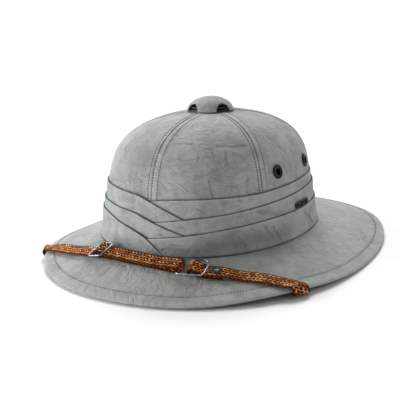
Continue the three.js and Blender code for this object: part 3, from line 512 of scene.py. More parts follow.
class Graph:
    """Adds nodes to a tree and links them from values, colours or other nodes' outputs."""

    def __init__(self, tree):
        self.tree = tree

    def node(self, kind, settings=None, **inputs):
        made = self.tree.nodes.new(kind)
        for key, value in (settings or {}).items():
            setattr(made, key, value)
        for key, value in inputs.items():
            self.feed(made.inputs[key.replace("_", " ")], value)
        return made

    def feed(self, socket, value):
        if isinstance(value, bpy.types.NodeSocket):
            self.tree.links.new(value, socket)
        elif value is not None:
            socket.default_value = value

    def math(self, operation, a, b=None, clamp=False):
        made = self.tree.nodes.new("ShaderNodeMath")
        made.operation = operation
        made.use_clamp = clamp
        self.feed(made.inputs[0], a)
        self.feed(made.inputs[1], b)
        return made.outputs[0]

    def plus(self, a, b):
        return self.math("ADD", a, b)

    def minus(self, a, b):
        return self.math("SUBTRACT", a, b)

    def times(self, a, b):
        return self.math("MULTIPLY", a, b)

    def vector(self, operation, a, b=None):
        made = self.tree.nodes.new("ShaderNodeVectorMath")
        made.operation = operation
        self.feed(made.inputs[0], a)
        self.feed(made.inputs[1], b)
        return made.outputs["Value" if operation in ("DOT_PRODUCT", "LENGTH") else "Vector"]

    def mix(self, factor, a, b):
        made = self.tree.nodes.new("ShaderNodeMix")
        made.data_type = "RGBA"
        self.feed(made.inputs[0], factor)
        self.feed(made.inputs[MIX_COLOR_A], a)
        self.feed(made.inputs[MIX_COLOR_B], b)
        return made.outputs[MIX_COLOR_RESULT]

    def tint(self, color, mask, strength, tone):
        """A colour drawn towards a tone where the mask is, by a strength from 0 to 1."""
        return self.mix(self.times(mask, strength), color, tone)

    def noise(self, vector, scale, detail=3.0, roughness=0.5, distortion=0.0):
        made = self.node("ShaderNodeTexNoise", Vector=vector, Scale=scale, Detail=detail,
                         Roughness=roughness, Distortion=distortion)
        return made.outputs["Fac"]

    def range(self, value, low, high, to_low=0.0, to_high=1.0):
        """A value eased from one range to another."""
        made = self.node("ShaderNodeMapRange", {"interpolation_type": "SMOOTHSTEP"}, Value=value,
                         From_Min=low, From_Max=high, To_Min=to_low, To_Max=to_high)
        return made.outputs["Result"]

    def attribute(self, name):
        return self.node("ShaderNodeAttribute", {"attribute_name": name}).outputs["Fac"]

    def object_place(self):
        return self.node("ShaderNodeTexCoord").outputs["Object"]

    def bump(self, height, strength, distance, normal=None):
        made = self.node("ShaderNodeBump", Strength=strength, Distance=distance, Height=height)
        self.feed(made.inputs["Normal"], normal)
        return made.outputs["Normal"]

    def group(self, tree, **inputs):
        made = self.tree.nodes.new("ShaderNodeGroup")
        made.node_tree = tree
        for key, value in inputs.items():
            self.feed(made.inputs[key.replace("_", " ")], value)
        return made.outputs


def effect(name, inputs, outputs, build):
    """A shader node group with named inputs and outputs. build(graph, sources) returns the outputs."""
    tree = bpy.data.node_groups.new(name, "ShaderNodeTree")
    for key, kind, value in inputs:
        socket = tree.interface.new_socket(name=key, in_out="INPUT", socket_type=kind)
        if value is not None:
            socket.default_value = value
    for key, kind in outputs:
        tree.interface.new_socket(name=key, in_out="OUTPUT", socket_type=kind)
    source = tree.nodes.new("NodeGroupInput").outputs
    sink = tree.nodes.new("NodeGroupOutput").inputs
    for socket, value in zip(sink, build(Graph(tree), source)):
        tree.links.new(value, socket)
    return tree


FLOAT = "NodeSocketFloat"
VECTOR = "NodeSocketVector"
CHART_RADIUS = 90.0


def build_blotches(g, source):
    """Cloudy tone of weathered cloth, and a mask of its widest patches."""
    place = source["Place"]
    wide = g.noise(place, source["Wide"], 3.0, 0.5, 0.5)
    small = g.noise(place, source["Small"], 5.0, 0.62, 0.5)
    both = g.plus(g.times(wide, 0.45), g.times(small, 0.55))
    return [g.range(both, 0.38, 0.62), g.range(wide, 0.5, 0.68)]


def build_wrinkles(g, source):
    """Fine creases that waxed cotton keeps: dark painted shade in their hollows, pale painted highlights
    on their ridges, and their height.
    """
    place = g.vector("MULTIPLY", source["Place"], source["Stretch"])
    first = g.noise(place, source["Density"], 3.0, 0.55, 1.6)
    second = g.noise(g.vector("ADD", place, (0.7, 0.3, 0.5)), source["Density"], 4.0, 0.6, 2.2)
    patch = g.noise(place, 24.0, 2.0)
    near_first = g.math("ABSOLUTE", g.minus(first, 0.5))
    near_second = g.math("ABSOLUTE", g.minus(second, 0.5))
    hollow = g.times(g.range(near_first, 0.0, 0.03, 1.0, 0.0), g.range(patch, 0.5, 0.64))
    ridge = g.times(g.range(near_second, 0.0, 0.03, 1.0, 0.0), g.range(patch, 0.5, 0.36))
    crumple = g.noise(place, 90.0, 4.0, 0.6, 0.7)
    height = g.plus(crumple, g.times(g.minus(ridge, hollow), 0.16))
    return [hollow, ridge, height]


def build_weave(g, source):
    """Plain weave, as a height over places in millimetres along and across the cloth."""
    turn = g.math("DIVIDE", 2 * math.pi, source["Pitch"])
    along = g.math("SINE", g.times(source["Along"], turn))
    across = g.math("SINE", g.times(source["Across"], turn))
    return [g.times(along, across)]


def build_holes(g, source):
    """Needle holes of one stitch row, and the cloth pulled in along it."""
    away = g.math("ABSOLUTE", g.minus(source["Across"], source["Row"]))
    near = g.range(away, 0.2, 0.6, 1.0, 0.0)
    turns = g.math("FRACT", g.math("DIVIDE", source["Along"], source["Pitch"]))
    phase = g.math("ABSOLUTE", g.minus(turns, 0.5))
    return [g.times(near, g.range(phase, 0.2, 0.34)), g.range(away, 0.2, 1.5, 1.0, 0.0)]


def build_chart(g, source):
    """Millimetres round the crown and up it, a little wavy, so that creases drawn on it aren't ruled."""
    place = source["Place"]
    parts = g.node("ShaderNodeSeparateXYZ", Vector=place).outputs
    forward = g.minus(CROWN_Y * MM, parts["Y"])
    turn = g.times(g.math("ARCTAN2", parts["X"], forward), CHART_RADIUS)
    height = g.math("DIVIDE", parts["Z"], MM)
    flat = g.node("ShaderNodeCombineXYZ", X=turn, Y=height).outputs["Vector"]
    wave = g.node("ShaderNodeTexNoise", Vector=place, Scale=75.0, Detail=2.0).outputs["Color"]
    sway = g.vector("MULTIPLY", g.vector("SUBTRACT", wave, (0.5, 0.5, 0.5)), (5.0, 5.0, 0.0))
    return [g.vector("ADD", flat, sway)]


def build_fold(g, source):
    """Adds one fold to a mask, and shifts the chart a little at it, so that later folds bend there."""
    reach = g.vector("SUBTRACT", source["To"], source["From"])
    away = g.vector("SUBTRACT", source["Chart"], source["From"])
    length = g.math("MAXIMUM", g.vector("DOT_PRODUCT", reach, reach), 0.000001)
    share = g.math("DIVIDE", g.vector("DOT_PRODUCT", away, reach), length, clamp=True)
    distance = g.vector("LENGTH", g.vector("SUBTRACT", away, g.vector("MULTIPLY", reach, share)))
    fold = g.range(g.math("DIVIDE", distance, source["Width"]), 0.0, 1.0, 1.0, 0.0)
    shift = g.vector("MULTIPLY", (0.5, 0.5, 0.0), fold)
    mask = g.math("MAXIMUM", source["Mask"], g.times(fold, source["Strength"]))
    return [g.vector("ADD", source["Chart"], shift), mask]


BLOTCHES = effect("tone_blotches", [("Place", VECTOR, None), ("Wide", FLOAT, 20.0),
                                    ("Small", FLOAT, 70.0)],
                  [("Tone", FLOAT), ("Patch", FLOAT)], build_blotches)
WRINKLES = effect("waxed_wrinkles", [("Place", VECTOR, None), ("Stretch", VECTOR, (1.0, 1.0, 1.0)),
                                     ("Density", FLOAT, 46.0)],
                  [("Hollow", FLOAT), ("Ridge", FLOAT), ("Height", FLOAT)], build_wrinkles)
WEAVE = effect("plain_weave", [("Along", FLOAT, 0.0), ("Across", FLOAT, 0.0), ("Pitch", FLOAT, 0.62)],
               [("Height", FLOAT)], build_weave)
HOLES = effect("stitch_holes", [("Along", FLOAT, 0.0), ("Across", FLOAT, 0.0), ("Row", FLOAT, 0.0),
                                ("Pitch", FLOAT, STITCH_PITCH)],
               [("Hole", FLOAT), ("Pull", FLOAT)], build_holes)
CHART = effect("crown_chart", [("Place", VECTOR, None)], [("Chart", VECTOR)], build_chart)
FOLD = effect("single_fold", [("Chart", VECTOR, None), ("Mask", FLOAT, 0.0), ("From", VECTOR, None),
                              ("To", VECTOR, None), ("Width", FLOAT, 1.0), ("Strength", FLOAT, 1.0)],
              [("Chart", VECTOR), ("Mask", FLOAT)], build_fold)

# Folds that the cloth keeps, each as (degrees, height, degrees, height, width, strength)
# Hollows get painted shade and ridges painted highlights, besides their bump.
CROWN_HOLLOWS = [
    (6.9, 111.2, 21.6, 110.1, 1.1, 0.5), (38.2, 109.5, 58, 107.1, 1.3, 0.8),
    (30, 107.3, 35.5, 107.3, 1.2, 0.5), (7, 100.5, 24.2, 101.1, 0.9, 0.4),
    (43.5, 103.5, 43.4, 101.5, 2.4, 0.75), (36.9, 93.4, 37, 93, 2.4, 0.7),
    (48, 103.4, 52.4, 99.8, 1.3, 0.5), (52.4, 99.8, 56.4, 93.7, 1.4, 0.55),
    (27, 101.9, 23.7, 94.2, 1.2, 0.35), (35, 106.2, 35.3, 100.9, 1.3, 0.5),
    (25.6, 89.4, 25.8, 77.1, 1.8, 0.35), (32.9, 83.9, 34.5, 70.7, 1.3, 0.6),
    (44.7, 82.3, 44.4, 72.1, 1.3, 0.45), (54.3, 84.5, 53.5, 70.3, 1.6, 0.5),
    (15.4, 80.4, 20.6, 74.4, 1.2, 0.3), (-52, 96, -50, 78, 2.2, 0.25),
    (110, 108, 118, 98, 1.6, 0.4), (150, 100, 158, 84, 1.8, 0.4), (-120, 104, -108, 100, 1.4, 0.4),
    (-150, 96, -155, 80, 1.8, 0.35), (88, 92, 92, 80, 1.6, 0.3),
]
CROWN_RIDGES = [
    (31.2, 94.3, 31.2, 82.2, 2, 0.4), (49.4, 83.9, 51.5, 79.6, 1.3, 0.6),
    (15.4, 82, 20.8, 76.1, 1.2, 0.7), (9, 113.2, 20, 112.2, 1.2, 0.4),
    (40, 107, 55, 105, 1.3, 0.45), (29, 102.5, 24.6, 94, 1.1, 0.5), (42, 90, 34, 96, 1.2, 0.4),
    (47, 100.5, 52, 96.5, 1.2, 0.4), (36.6, 83, 37.6, 71, 1.5, 0.4),
    (46.8, 84, 46.4, 72, 1.5, 0.35), (56.4, 84, 56, 71, 1.4, 0.4), (-40, 100, -36, 84, 2.6, 0.3),
    (75, 110, 84, 94, 2.2, 0.45), (140, 104, 146, 90, 2, 0.4), (-118, 101.6, -106, 97.6, 1.4, 0.5),
]
CROWN_STAINS = [
    (43.5, 99.5, 43.5, 96, 3.6, 0.8), (37.5, 86.5, 37.8, 84.5, 4, 0.5), (24, 80, 27, 74, 6, 0.3),
]
BAND_HOLLOWS = [
    (46.8, 40.1, 51.2, 30.3, 1.3, 0.8), (50, 29.4, 51.5, 25.7, 1.2, 0.5),
    (62.1, 43.3, 66, 31.8, 1.9, 0.75), (67.1, 40.9, 71.6, 27.1, 2, 0.9),
    (58.4, 35.4, 58.8, 34.8, 6, 0.6), (90.9, 43.9, 101.1, 27, 2.6, 0.7),
    (48, 66.8, 49.6, 65.6, 1.8, 0.6), (26.1, 63, 30.1, 59.8, 1.5, 0.5),
    (6.9, 30.2, 22.8, 30.8, 1.7, 0.6), (22.3, 29.8, 22.7, 25.3, 0.9, 0.9),
    (31.3, 34.3, 47.7, 34.1, 4, 0.35), (80, 52, 84, 45, 1.4, 0.4), (140, 60, 146, 48, 1.8, 0.5),
    (-60, 60, -54, 52, 1.8, 0.35), (-150, 56, -142, 44, 2, 0.5),
]
BAND_RIDGES = [
    (68.4, 42.3, 73.3, 28.3, 1.7, 0.6), (71.7, 40.5, 75, 28.7, 1.6, 0.45),
    (48.4, 31, 50.4, 26.2, 1.2, 0.6), (60.4, 42, 64.4, 31, 1.4, 0.35), (94, 44, 103.4, 29, 2, 0.6),
    (143, 61, 149, 49, 1.6, 0.5), (12, 36, 24, 36.6, 2.6, 0.35),
]
# Stains on the band; the entry from -20 degrees is a painted shade on the lower pleat's front, under the
# pleats above it.
BAND_STAINS_AND_SHADE = [
    (34, 33, 74, 33, 15, 1.0), (-20, 29, 32, 30, 11, 1.0), (60, 55.4, 76, 48, 4.5, 0.8),
    (56, 38, 57, 30, 5, 0.5), (64, 38, 67, 30, 4, 0.9), (38.8, 67.1, 41, 66, 4, 0.5),
]


def new_material(name):
    material = bpy.data.materials.new(name)
    material.use_nodes = True
    g = Graph(material.node_tree)
    shader = material.node_tree.nodes["Principled BSDF"]
    return material, g, shader


def chart_place(degrees, height):
    """Place on the chart for an angle round the crown and a height over the floor."""
    x, y, z = crown_point(math.radians(degrees), (height - JUNCTION_HEIGHT) / CROWN_HEIGHT)
    return (CHART_RADIUS * math.atan2(x, CROWN_Y - y), z, 0)


def fold_mask(g, chart, folds):
    """The strongest of several folds at each place, and the chart that they have bent."""
    mask = 0.0
    for degrees, height, end_degrees, end_height, width, strength in folds:
        made = g.group(FOLD, Chart=chart, Mask=mask, From=chart_place(degrees, height),
                       To=chart_place(end_degrees, end_height), Width=width, Strength=strength)
        chart = made["Chart"]
        mask = made["Mask"]
    return mask, chart


def cloth_material(name, rows=(), hollows=(), ridges=(), stains_and_shade=(), stretch=(1.0, 1.0, 1.0),
                   seam_fold=False, creased=1.0):
    """Matt waxed cotton with cloudy tone, creases, kept folds, a plain weave and rows of needle holes,
    with painted shade in hollows and under edges that lie on it, and painted highlights on ridges, pleat
    tops and rims.
    """
    material, g, shader = new_material(name)
    place = g.object_place()
    along = g.attribute("along")
    across = g.attribute("across")
    tone = g.group(BLOTCHES, Place=place)
    wrinkle = g.group(WRINKLES, Place=place, Stretch=stretch)
    chart = g.group(CHART, Place=place)["Chart"]
    hollow, chart = fold_mask(g, chart, hollows)
    ridge, chart = fold_mask(g, chart, ridges)
    stain_and_shade, chart = fold_mask(g, chart, stains_and_shade)
    color = g.mix(tone["Tone"], CLOTH_DARK, CLOTH_LIGHT)
    color = g.tint(color, tone["Patch"], 0.3, CLOTH_DUN)
    if seam_fold:
        pale = g.times(g.range(across, 0.4, 1.0), g.range(across, 4.4, 5.2, 1.0, 0.0))
        color = g.tint(color, pale, 0.22, CLOTH_PALE)
    fleck = g.range(g.noise(place, 230.0, 3.0, 0.6), 0.52, 0.68)
    color = g.tint(color, fleck, 0.22, CLOTH_SHADE)
    # Painted shade in crease and fold hollows, painted highlights on their ridges.
    color = g.tint(color, wrinkle["Hollow"], 0.22 * creased, CLOTH_SHADE)
    color = g.tint(color, wrinkle["Ridge"], 0.35 * creased, CLOTH_PALE)
    color = g.tint(color, hollow, 0.75, CLOTH_SHADE)
    color = g.tint(color, ridge, 0.7, CLOTH_PALE)
    # Stains, and a painted shade on the band's lower front.
    color = g.tint(color, stain_and_shade, 0.6, CLOTH_STAIN_AND_SHADE)
    # Painted highlights on pleat tops, the binding's edge and the cap's rim, and painted shade under
    # edges that lie on the cloth.
    color = g.tint(color, g.attribute("wear_and_painted_highlight"), 0.4, CLOTH_PALE)
    color = g.tint(color, g.attribute("crevice_shade"), 0.9, CLOTH_CREVICE_SHADE)
    folded = g.times(g.minus(ridge, hollow), 0.3)
    height = g.plus(wrinkle["Height"], folded)
    for row in rows:
        hole = g.group(HOLES, Along=along, Across=across, Row=row)
        color = g.tint(color, hole["Hole"], 0.3, CLOTH_SHADE)
        height = g.minus(height, g.times(hole["Pull"], 0.1))
    soft = g.bump(height, 0.8, 0.0026)
    weave = g.group(WEAVE, Along=along, Across=across)["Height"]
    g.feed(shader.inputs["Base Color"], color)
    g.feed(shader.inputs["Normal"], g.bump(weave, 0.16, 0.00008, soft))
    g.feed(shader.inputs["Roughness"], g.range(tone["Tone"], 0, 1, 0.72, 0.88))
    shader.inputs["Sheen Weight"].default_value = 0.06
    shader.inputs["Sheen Roughness"].default_value = 0.5
    shader.inputs["Specular IOR Level"].default_value = 0.25
    return material


def thread_material():
    material, g, shader = new_material("thread")
    fibre = g.noise(g.object_place(), 1500.0, 2.0)
    g.feed(shader.inputs["Base Color"], g.mix(fibre, THREAD_DARK, THREAD_LIGHT))
    g.feed(shader.inputs["Normal"], g.bump(fibre, 0.4, 0.0002))
    shader.inputs["Roughness"].default_value = 0.75
    return material


def leather_material():
    """Waxed braided leather: tan on the raised strands, painted shade from red-brown to near black in the
    gaps, and dark edges that are partly the leather's edge colour and partly painted shade on its sides.
    """
    material, g, shader = new_material("braided_leather")
    place = g.object_place()
    relief = g.attribute("relief")
    strand = g.attribute("strand")
    edge = g.attribute("edge")
    grain = g.noise(place, 900.0, 4.0, 0.65)
    mottle = g.noise(place, 150.0, 3.0, 0.6)
    raised = g.mix(strand, LEATHER_RUSSET, LEATHER_TAN)
    raised = g.mix(g.range(mottle, 0.45, 0.7, 0.0, 0.6), raised, LEATHER_MOTTLE)
    # Painted shade in the gaps between the raised strands.
    color = g.mix(g.range(relief, 0.34, 0.84), LEATHER_GAP_SHADE, raised)
    # Dark edges: partly the leather's edge colour, partly painted shade on the strap's sides.
    color = g.tint(color, edge, 0.9, LEATHER_EDGE)
    color = g.tint(color, g.range(grain, 0.55, 0.75), 0.35, LEATHER_GRAIN)
    normal = g.bump(grain, 0.35, 0.00022)
    g.feed(shader.inputs["Base Color"], color)
    g.feed(shader.inputs["Normal"], normal)
    g.feed(shader.inputs["Roughness"], g.range(mottle, 0.3, 0.7, 0.5, 0.68))
    shader.inputs["Specular IOR Level"].default_value = 0.1
    shader.inputs["Specular Tint"].default_value = LEATHER_SHINE
    return material


def metal_material(name, light, dark, rough_low, rough_high, metallic=1.0, specular=0.5):
    """Metal with a faint uneven polish and fine scratches."""
    material, g, shader = new_material(name)
    place = g.object_place()
    smear = g.noise(place, 160.0, 4.0, 0.6)
    fine = g.noise(g.vector("MULTIPLY", place, (1.0, 1.0, 9.0)), 1100.0, 3.0)
    g.feed(shader.inputs["Base Color"], g.mix(g.range(smear, 0.35, 0.7), light, dark))
    g.feed(shader.inputs["Roughness"], g.range(smear, 0.3, 0.7, rough_low, rough_high))
    g.feed(shader.inputs["Normal"], g.bump(fine, 0.15, 0.0001))
    shader.inputs["Metallic"].default_value = metallic
    shader.inputs["Specular IOR Level"].default_value = specular
    return material


def plate_material():
    """Blackened plate, rubbed through to bright metal in specks and along its border."""
    material, g, shader = new_material("dark_plate")
    place = g.object_place()
    speck = g.range(g.noise(place, 620.0, 3.0, 0.6), 0.56, 0.66)
    # On the plate this mask is the plate's own wear: bare metal in specks and along its border.
    wear_and_painted_highlight = g.math("MAXIMUM", g.times(speck, 0.7), g.attribute("wear_and_painted_highlight"))
    g.feed(shader.inputs["Base Color"], g.mix(wear_and_painted_highlight, PLATE_BLACK, PLATE_BARE))
    g.feed(shader.inputs["Roughness"], g.range(wear_and_painted_highlight, 0.0, 1.0, 0.55, 0.35))
    g.feed(shader.inputs["Metallic"], wear_and_painted_highlight)
    g.feed(shader.inputs["Normal"], g.bump(speck, 0.4, 0.0001))
    shader.inputs["Specular IOR Level"].default_value = 0.02
    return material


def plastic_material():
    material, g, shader = new_material("black_plastic")
    place = g.object_place()
    grain = g.noise(place, 1400.0, 3.0)
    dust = g.range(g.noise(place, 120.0, 4.0), 0.5, 0.75)
    g.feed(shader.inputs["Base Color"], g.mix(dust, PLASTIC_BLACK, PLASTIC_DUST))
    g.feed(shader.inputs["Roughness"], g.range(grain, 0.3, 0.7, 0.4, 0.6))
    g.feed(shader.inputs["Normal"], g.bump(grain, 0.2, 0.0001))
    return material


def floor_material():
    material, g, shader = new_material("pale_floor")
    tone = g.noise(g.object_place(), 3.0, 2.0)
    g.feed(shader.inputs["Base Color"], g.mix(tone, FLOOR_DARK, FLOOR_LIGHT))
    shader.inputs["Roughness"].default_value = 0.9
    return material


CLOTH_LIGHT = (0.372, 0.388, 0.377, 1)
CLOTH_DARK = (0.262, 0.273, 0.263, 1)
CLOTH_DUN = (0.272, 0.276, 0.255, 1)
# Pale tone for painted highlights on ridges, pleat tops and rims, and for the seam's wide fold.
CLOTH_PALE = (0.420, 0.442, 0.424, 1)
# Dark tone for painted shade in hollows, and for flecks and needle holes.
CLOTH_SHADE = (0.130, 0.135, 0.126, 1)
# Tone of stains, also used for a painted shade on the band's lower front.
CLOTH_STAIN_AND_SHADE = (0.148, 0.132, 0.137, 1)
# Near black for painted shade under edges that lie on the cloth.
CLOTH_CREVICE_SHADE = (0.012, 0.013, 0.012, 1)
THREAD_DARK = (0.008, 0.009, 0.008, 1)
THREAD_LIGHT = (0.03, 0.032, 0.028, 1)
LEATHER_RUSSET = (0.42, 0.10, 0.014, 1)
LEATHER_TAN = (0.92, 0.42, 0.15, 1)
LEATHER_MOTTLE = (0.2, 0.045, 0.01, 1)
# Near black for painted shade in the braid's gaps.
LEATHER_GAP_SHADE = (0.012, 0.002, 0.001, 1)
# Dark red of the strap's edges, partly edge colour and partly painted shade.
LEATHER_EDGE = (0.05, 0.007, 0.003, 1)
LEATHER_GRAIN = (0.1, 0.025, 0.008, 1)
LEATHER_SHINE = (1.0, 0.55, 0.3, 1)
PLATE_BLACK = (0.005, 0.005, 0.005, 1)
PLATE_BARE = (0.34, 0.34, 0.32, 1)
PLASTIC_BLACK = (0.006, 0.006, 0.006, 1)
PLASTIC_DUST = (0.022, 0.022, 0.021, 1)
FLOOR_DARK = (0.86, 0.86, 0.86, 1)
FLOOR_LIGHT = (0.90, 0.90, 0.90, 1)
LIGHT_CREASING = 0.45

crown_cloth = cloth_material("crown_cloth", (0.0, *SEAM_ROWS), CROWN_HOLLOWS, CROWN_RIDGES, CROWN_STAINS,
                             stretch=(1.0, 1.0, 2.2), seam_fold=True)
band_cloth = cloth_material("band_cloth", (), BAND_HOLLOWS, BAND_RIDGES, BAND_STAINS_AND_SHADE,
                            stretch=(1.0, 1.0, 1.6))
brim_cloth = cloth_material("brim_cloth", creased=LIGHT_CREASING)
binding_cloth = cloth_material("binding_cloth", creased=LIGHT_CREASING)
cap_cloth = cloth_material("cap_cloth")
thread = thread_material()
leather = leather_material()
polished_steel = metal_material("polished_steel", (0.34, 0.36, 0.4, 1), (0.12, 0.13, 0.155, 1), 0.2, 0.34)
blued_steel = metal_material("blued_steel", (0.075, 0.095, 0.13, 1), (0.03, 0.035, 0.045, 1), 0.25, 0.4)
black_metal = metal_material("black_metal", (0.005, 0.005, 0.005, 1), (0.012, 0.012, 0.011, 1), 0.3, 0.48,
                             metallic=0.0, specular=0.14)
dark_plate = plate_material()
black_plastic = plastic_material()


# Crown
SEAM_ANGLES = np.radians([1.2, 62.9, 121, 181.2, 239, 299.5])
SEAM_ZONE = math.radians(5.5)
WIDE_WAVE = 0.35
SMALL_WAVE = 0.14
FAR_FROM_SEAM = 50
INNER_TOP_LIMIT = 0.985
CROWN_ROWS = 150
CROWN_INNER_ROWS = 40
BAND_SHADE = 0.7
BAND_SHADE_REACH = 1.3
CAP_SHADE = 0.6
CAP_SHADE_REACH = 1.6


def unevenness(points):
    """Soft unevenness shared by every cloth layer, so that layers keep their distance."""
    return WIDE_WAVE * noise(points, 31, 3) + SMALL_WAVE * noise(points, 11, 5)


def crown_stations():
    wide = np.radians(np.arange(0, 360, 1.0))
    away = np.abs((wide[:, None] - SEAM_ANGLES[None, :] + np.pi) % (2 * np.pi) - np.pi).min(1)
    near = (SEAM_ANGLES[:, None] + np.linspace(-SEAM_ZONE, SEAM_ZONE, 31)[None, :]).ravel()
    return np.sort(np.concatenate([wide[away > SEAM_ZONE * 1.05], near]) % (2 * np.pi))


def crown_profile():
    """Arc length up the crown's wall against h, for one middling section."""
    h = 1 - (1 - np.linspace(0, 1, 3001)) ** 2.5
    mean = (CROWN_FRONT_REACH + CROWN_REAR_REACH + CROWN_WIDTH) / 4
    line = np.stack([mean * crown_size(h), CROWN_HEIGHT * h], -1)
    return h, arc_lengths(line)


PROFILE_H, PROFILE_S = crown_profile()


def seam_coordinates(angle, h, points):
    """Distance across from the nearest seam, and distance up along it."""
    turn = (angle[..., None] - SEAM_ANGLES + np.pi) % (2 * np.pi) - np.pi
    nearest = np.abs(turn).argmin(-1)
    side = np.sign(np.take_along_axis(turn, nearest[..., None], -1)[..., 0])
    seam_point = crown_point(SEAM_ANGLES[nearest], h)
    across = side * np.linalg.norm(points - seam_point, axis=-1)
    return across, np.interp(h, PROFILE_H, PROFILE_S)


def seam_relief(across):
    """A felled seam: a ditch between a wide fold and a narrow one, and sunk stitch rows."""
    left, right = SEAM_ROWS
    fold = 0.36 * (smooth((across - 0.1) / 0.8) - smooth((across - right - 0.4) / 0.9))
    narrow = 0.22 * (smooth((-across - 0.1) / 0.8) - smooth((-across + left - 0.4) / 0.9))
    ditch = -0.2 * np.exp(-(across / 0.55) ** 2)
    rows = sum(-0.1 * np.exp(-((across - row) / 0.5) ** 2) for row in SEAM_ROWS)
    return fold + narrow + ditch + rows


def painted_shade_under(z, top, reach):
    """Painted shade: how dark the cloth is painted just above an edge that lies on it."""
    return np.exp(-((z - top) / reach) ** 2) * (z > top - 4)


def top_line(table, degrees):
    return JUNCTION_HEIGHT + BAND_HEIGHT * table_at(table, degrees)


def signed_degrees(angle):
    return (np.degrees(angle) + 180) % 360 - 180


def band_top(angle):
    """Height of the upper pleat's visible edge."""
    degrees = signed_degrees(angle)
    right = np.where(degrees > RIGHT_TOPS[0][0][0], top_line(RIGHT_TOPS[0], degrees), 0)
    left = np.where(degrees < LEFT_TOPS[0][-1][0], top_line(LEFT_TOPS[0], degrees), 0)
    return np.maximum(right, left)


def make_crown():
    angle = crown_stations()
    hole = VENT_TUBE_RADIUS + GAP
    end = crown_height_at_radius(angle, hole)
    length = np.interp(end, PROFILE_H, PROFILE_S)
    share = np.linspace(0, 1, CROWN_ROWS)
    h = np.interp(share[None, :] * length[:, None], PROFILE_S, PROFILE_H)
    h = np.maximum(h, GAP / CROWN_HEIGHT)
    h[:, -1] = end
    a = np.broadcast_to(angle[:, None], h.shape)
    base = crown_point(a, h)
    across, along = seam_coordinates(a, h, base)
    above_band = smooth((base[..., 2] - band_top(a) + 1) / 5)
    near_cap = smooth((np.hypot(base[..., 0], base[..., 1] - APEX_Y) - hole) / 10)
    relief = seam_relief(across) * (0.25 + 0.75 * above_band) * near_cap
    soft = unevenness(base) * (0.4 + 0.6 * above_band) * near_cap
    outer = base + crown_normal(a, h) * (relief + soft)[..., None]
    inner_share = np.linspace(1, 0, CROWN_INNER_ROWS)
    inner_h = np.interp(inner_share[None, :] * length[:, None], PROFILE_S, PROFILE_H)
    inner_h = np.minimum(np.maximum(inner_h, GAP / CROWN_HEIGHT), INNER_TOP_LIMIT)
    inner = crown_offset(angle[:, None], inner_h, np.full(inner_h.shape, -float(CROWN_WALL)))
    lip = outer[:, -1:] - np.array([0, 0, CROWN_WALL])
    keep = inner[:, :, 2] < lip[:, :, 2] - 0.05
    inner = np.where(keep[..., None], inner, lip)
    points = np.concatenate([outer, lip, inner], 1)
    rest = ((0, 0), (0, points.shape[1] - CROWN_ROWS))
    # Painted shade on the crown under the band's top edge and round the vent cap.
    crevice_shade = BAND_SHADE * painted_shade_under(base[..., 2], band_top(a), BAND_SHADE_REACH)
    from_cap = (np.hypot(base[..., 0], base[..., 1] - APEX_Y) - CAP_RADIUS) / CAP_SHADE_REACH
    crevice_shade = np.maximum(crevice_shade, CAP_SHADE * np.exp(-from_cap ** 2))
    attributes = {
        "across": np.pad(across, rest, constant_values=FAR_FROM_SEAM),
        "along": np.pad(along, rest),
        "crevice_shade": np.pad(crevice_shade, rest),
        "wear_and_painted_highlight": np.zeros(points.shape[:2]),
    }
    crown = closed_piece("crown_cover", points, True, attributes)
    return finish_piece(crown, "crown", crown_cloth)


def cut_holes(obj, pins):
    """Cuts round holes, each given as (position, direction, radius, length)."""
    cutters = []
    for i, (position, direction, radius, length) in enumerate(pins):
        half = length / 2
        profile = [(LATHE_TIP, -half), (radius, -half), (radius, half), (LATHE_TIP, half)]
        cutters.append(lathe_piece(f"cutter_{i}", profile, 32, position, direction))
    bpy.context.view_layer.objects.active = obj
    for cutter in cutters:
        modifier = obj.modifiers.new("hole", "BOOLEAN")
        modifier.operation = "DIFFERENCE"
        modifier.solver = "EXACT"
        modifier.object = cutter
        with bpy.context.temp_override(object=obj, active_object=obj, selected_objects=[obj]):
            bpy.ops.object.modifier_apply(modifier=modifier.name)
    for cutter in cutters:
        bpy.data.objects.remove(cutter)


def eyelet_places():
    places = {}
    for side_name, side in (("left", 1), ("right", -1)):
        for end_name, degrees in EYELET_ANGLES.items():
            angle = np.radians(side * degrees)
            h = EYELET_HEIGHT / CROWN_HEIGHT
            places[f"eyelet_{side_name}_{end_name}"] = (crown_point(angle, h), crown_normal(angle, h))
    return places


def make_crown_stitches():
    rows = []
    for seam in SEAM_ANGLES:
        top = crown_height_at_radius(np.array([seam]), CAP_RADIUS + 0.8)[0]
        bottom = (band_top(np.array([seam]))[0] - JUNCTION_HEIGHT) / CROWN_HEIGHT
        s0, s1 = np.interp([bottom, top], PROFILE_H, PROFILE_S)
        s0 = math.ceil(s0 / STITCH_PITCH) * STITCH_PITCH
        s1 = math.floor(s1 / STITCH_PITCH) * STITCH_PITCH
        s = np.arange(s0, s1 + 0.01, STITCH_PITCH / 3)
        h = np.interp(s, PROFILE_S, PROFILE_H)
        for row in (0.0, *SEAM_ROWS):
            step = crown_point(seam + ANGLE_STEP, h) - crown_point(seam - ANGLE_STEP, h)
            reach = np.linalg.norm(step, axis=-1) / (2 * ANGLE_STEP)
            a = seam + row / reach
            p = crown_point(a, h)
            n = crown_normal(a, h)
            lift = seam_relief(np.full(len(s), row)) + unevenness(p) + 0.05
            radius = SEAM_STITCH_RADIUS if row else MIDDLE_STITCH_RADIUS
            rows.append(stitch_row(p + n * lift[:, None], n, STITCH_PITCH, SEAM_STITCH_LENGTH, radius))
    stitch_piece("crown_stitches", rows, thread)


# Brim with the collar that stands up inside the crown
BRIM_STATIONS = 480
BRIM_ROWS = 44
BRIM_SHADE = 0.45
BRIM_SHADE_REACH = 2.6


def hat_stations(count):
    return np.arange(count) * 2 * np.pi / count


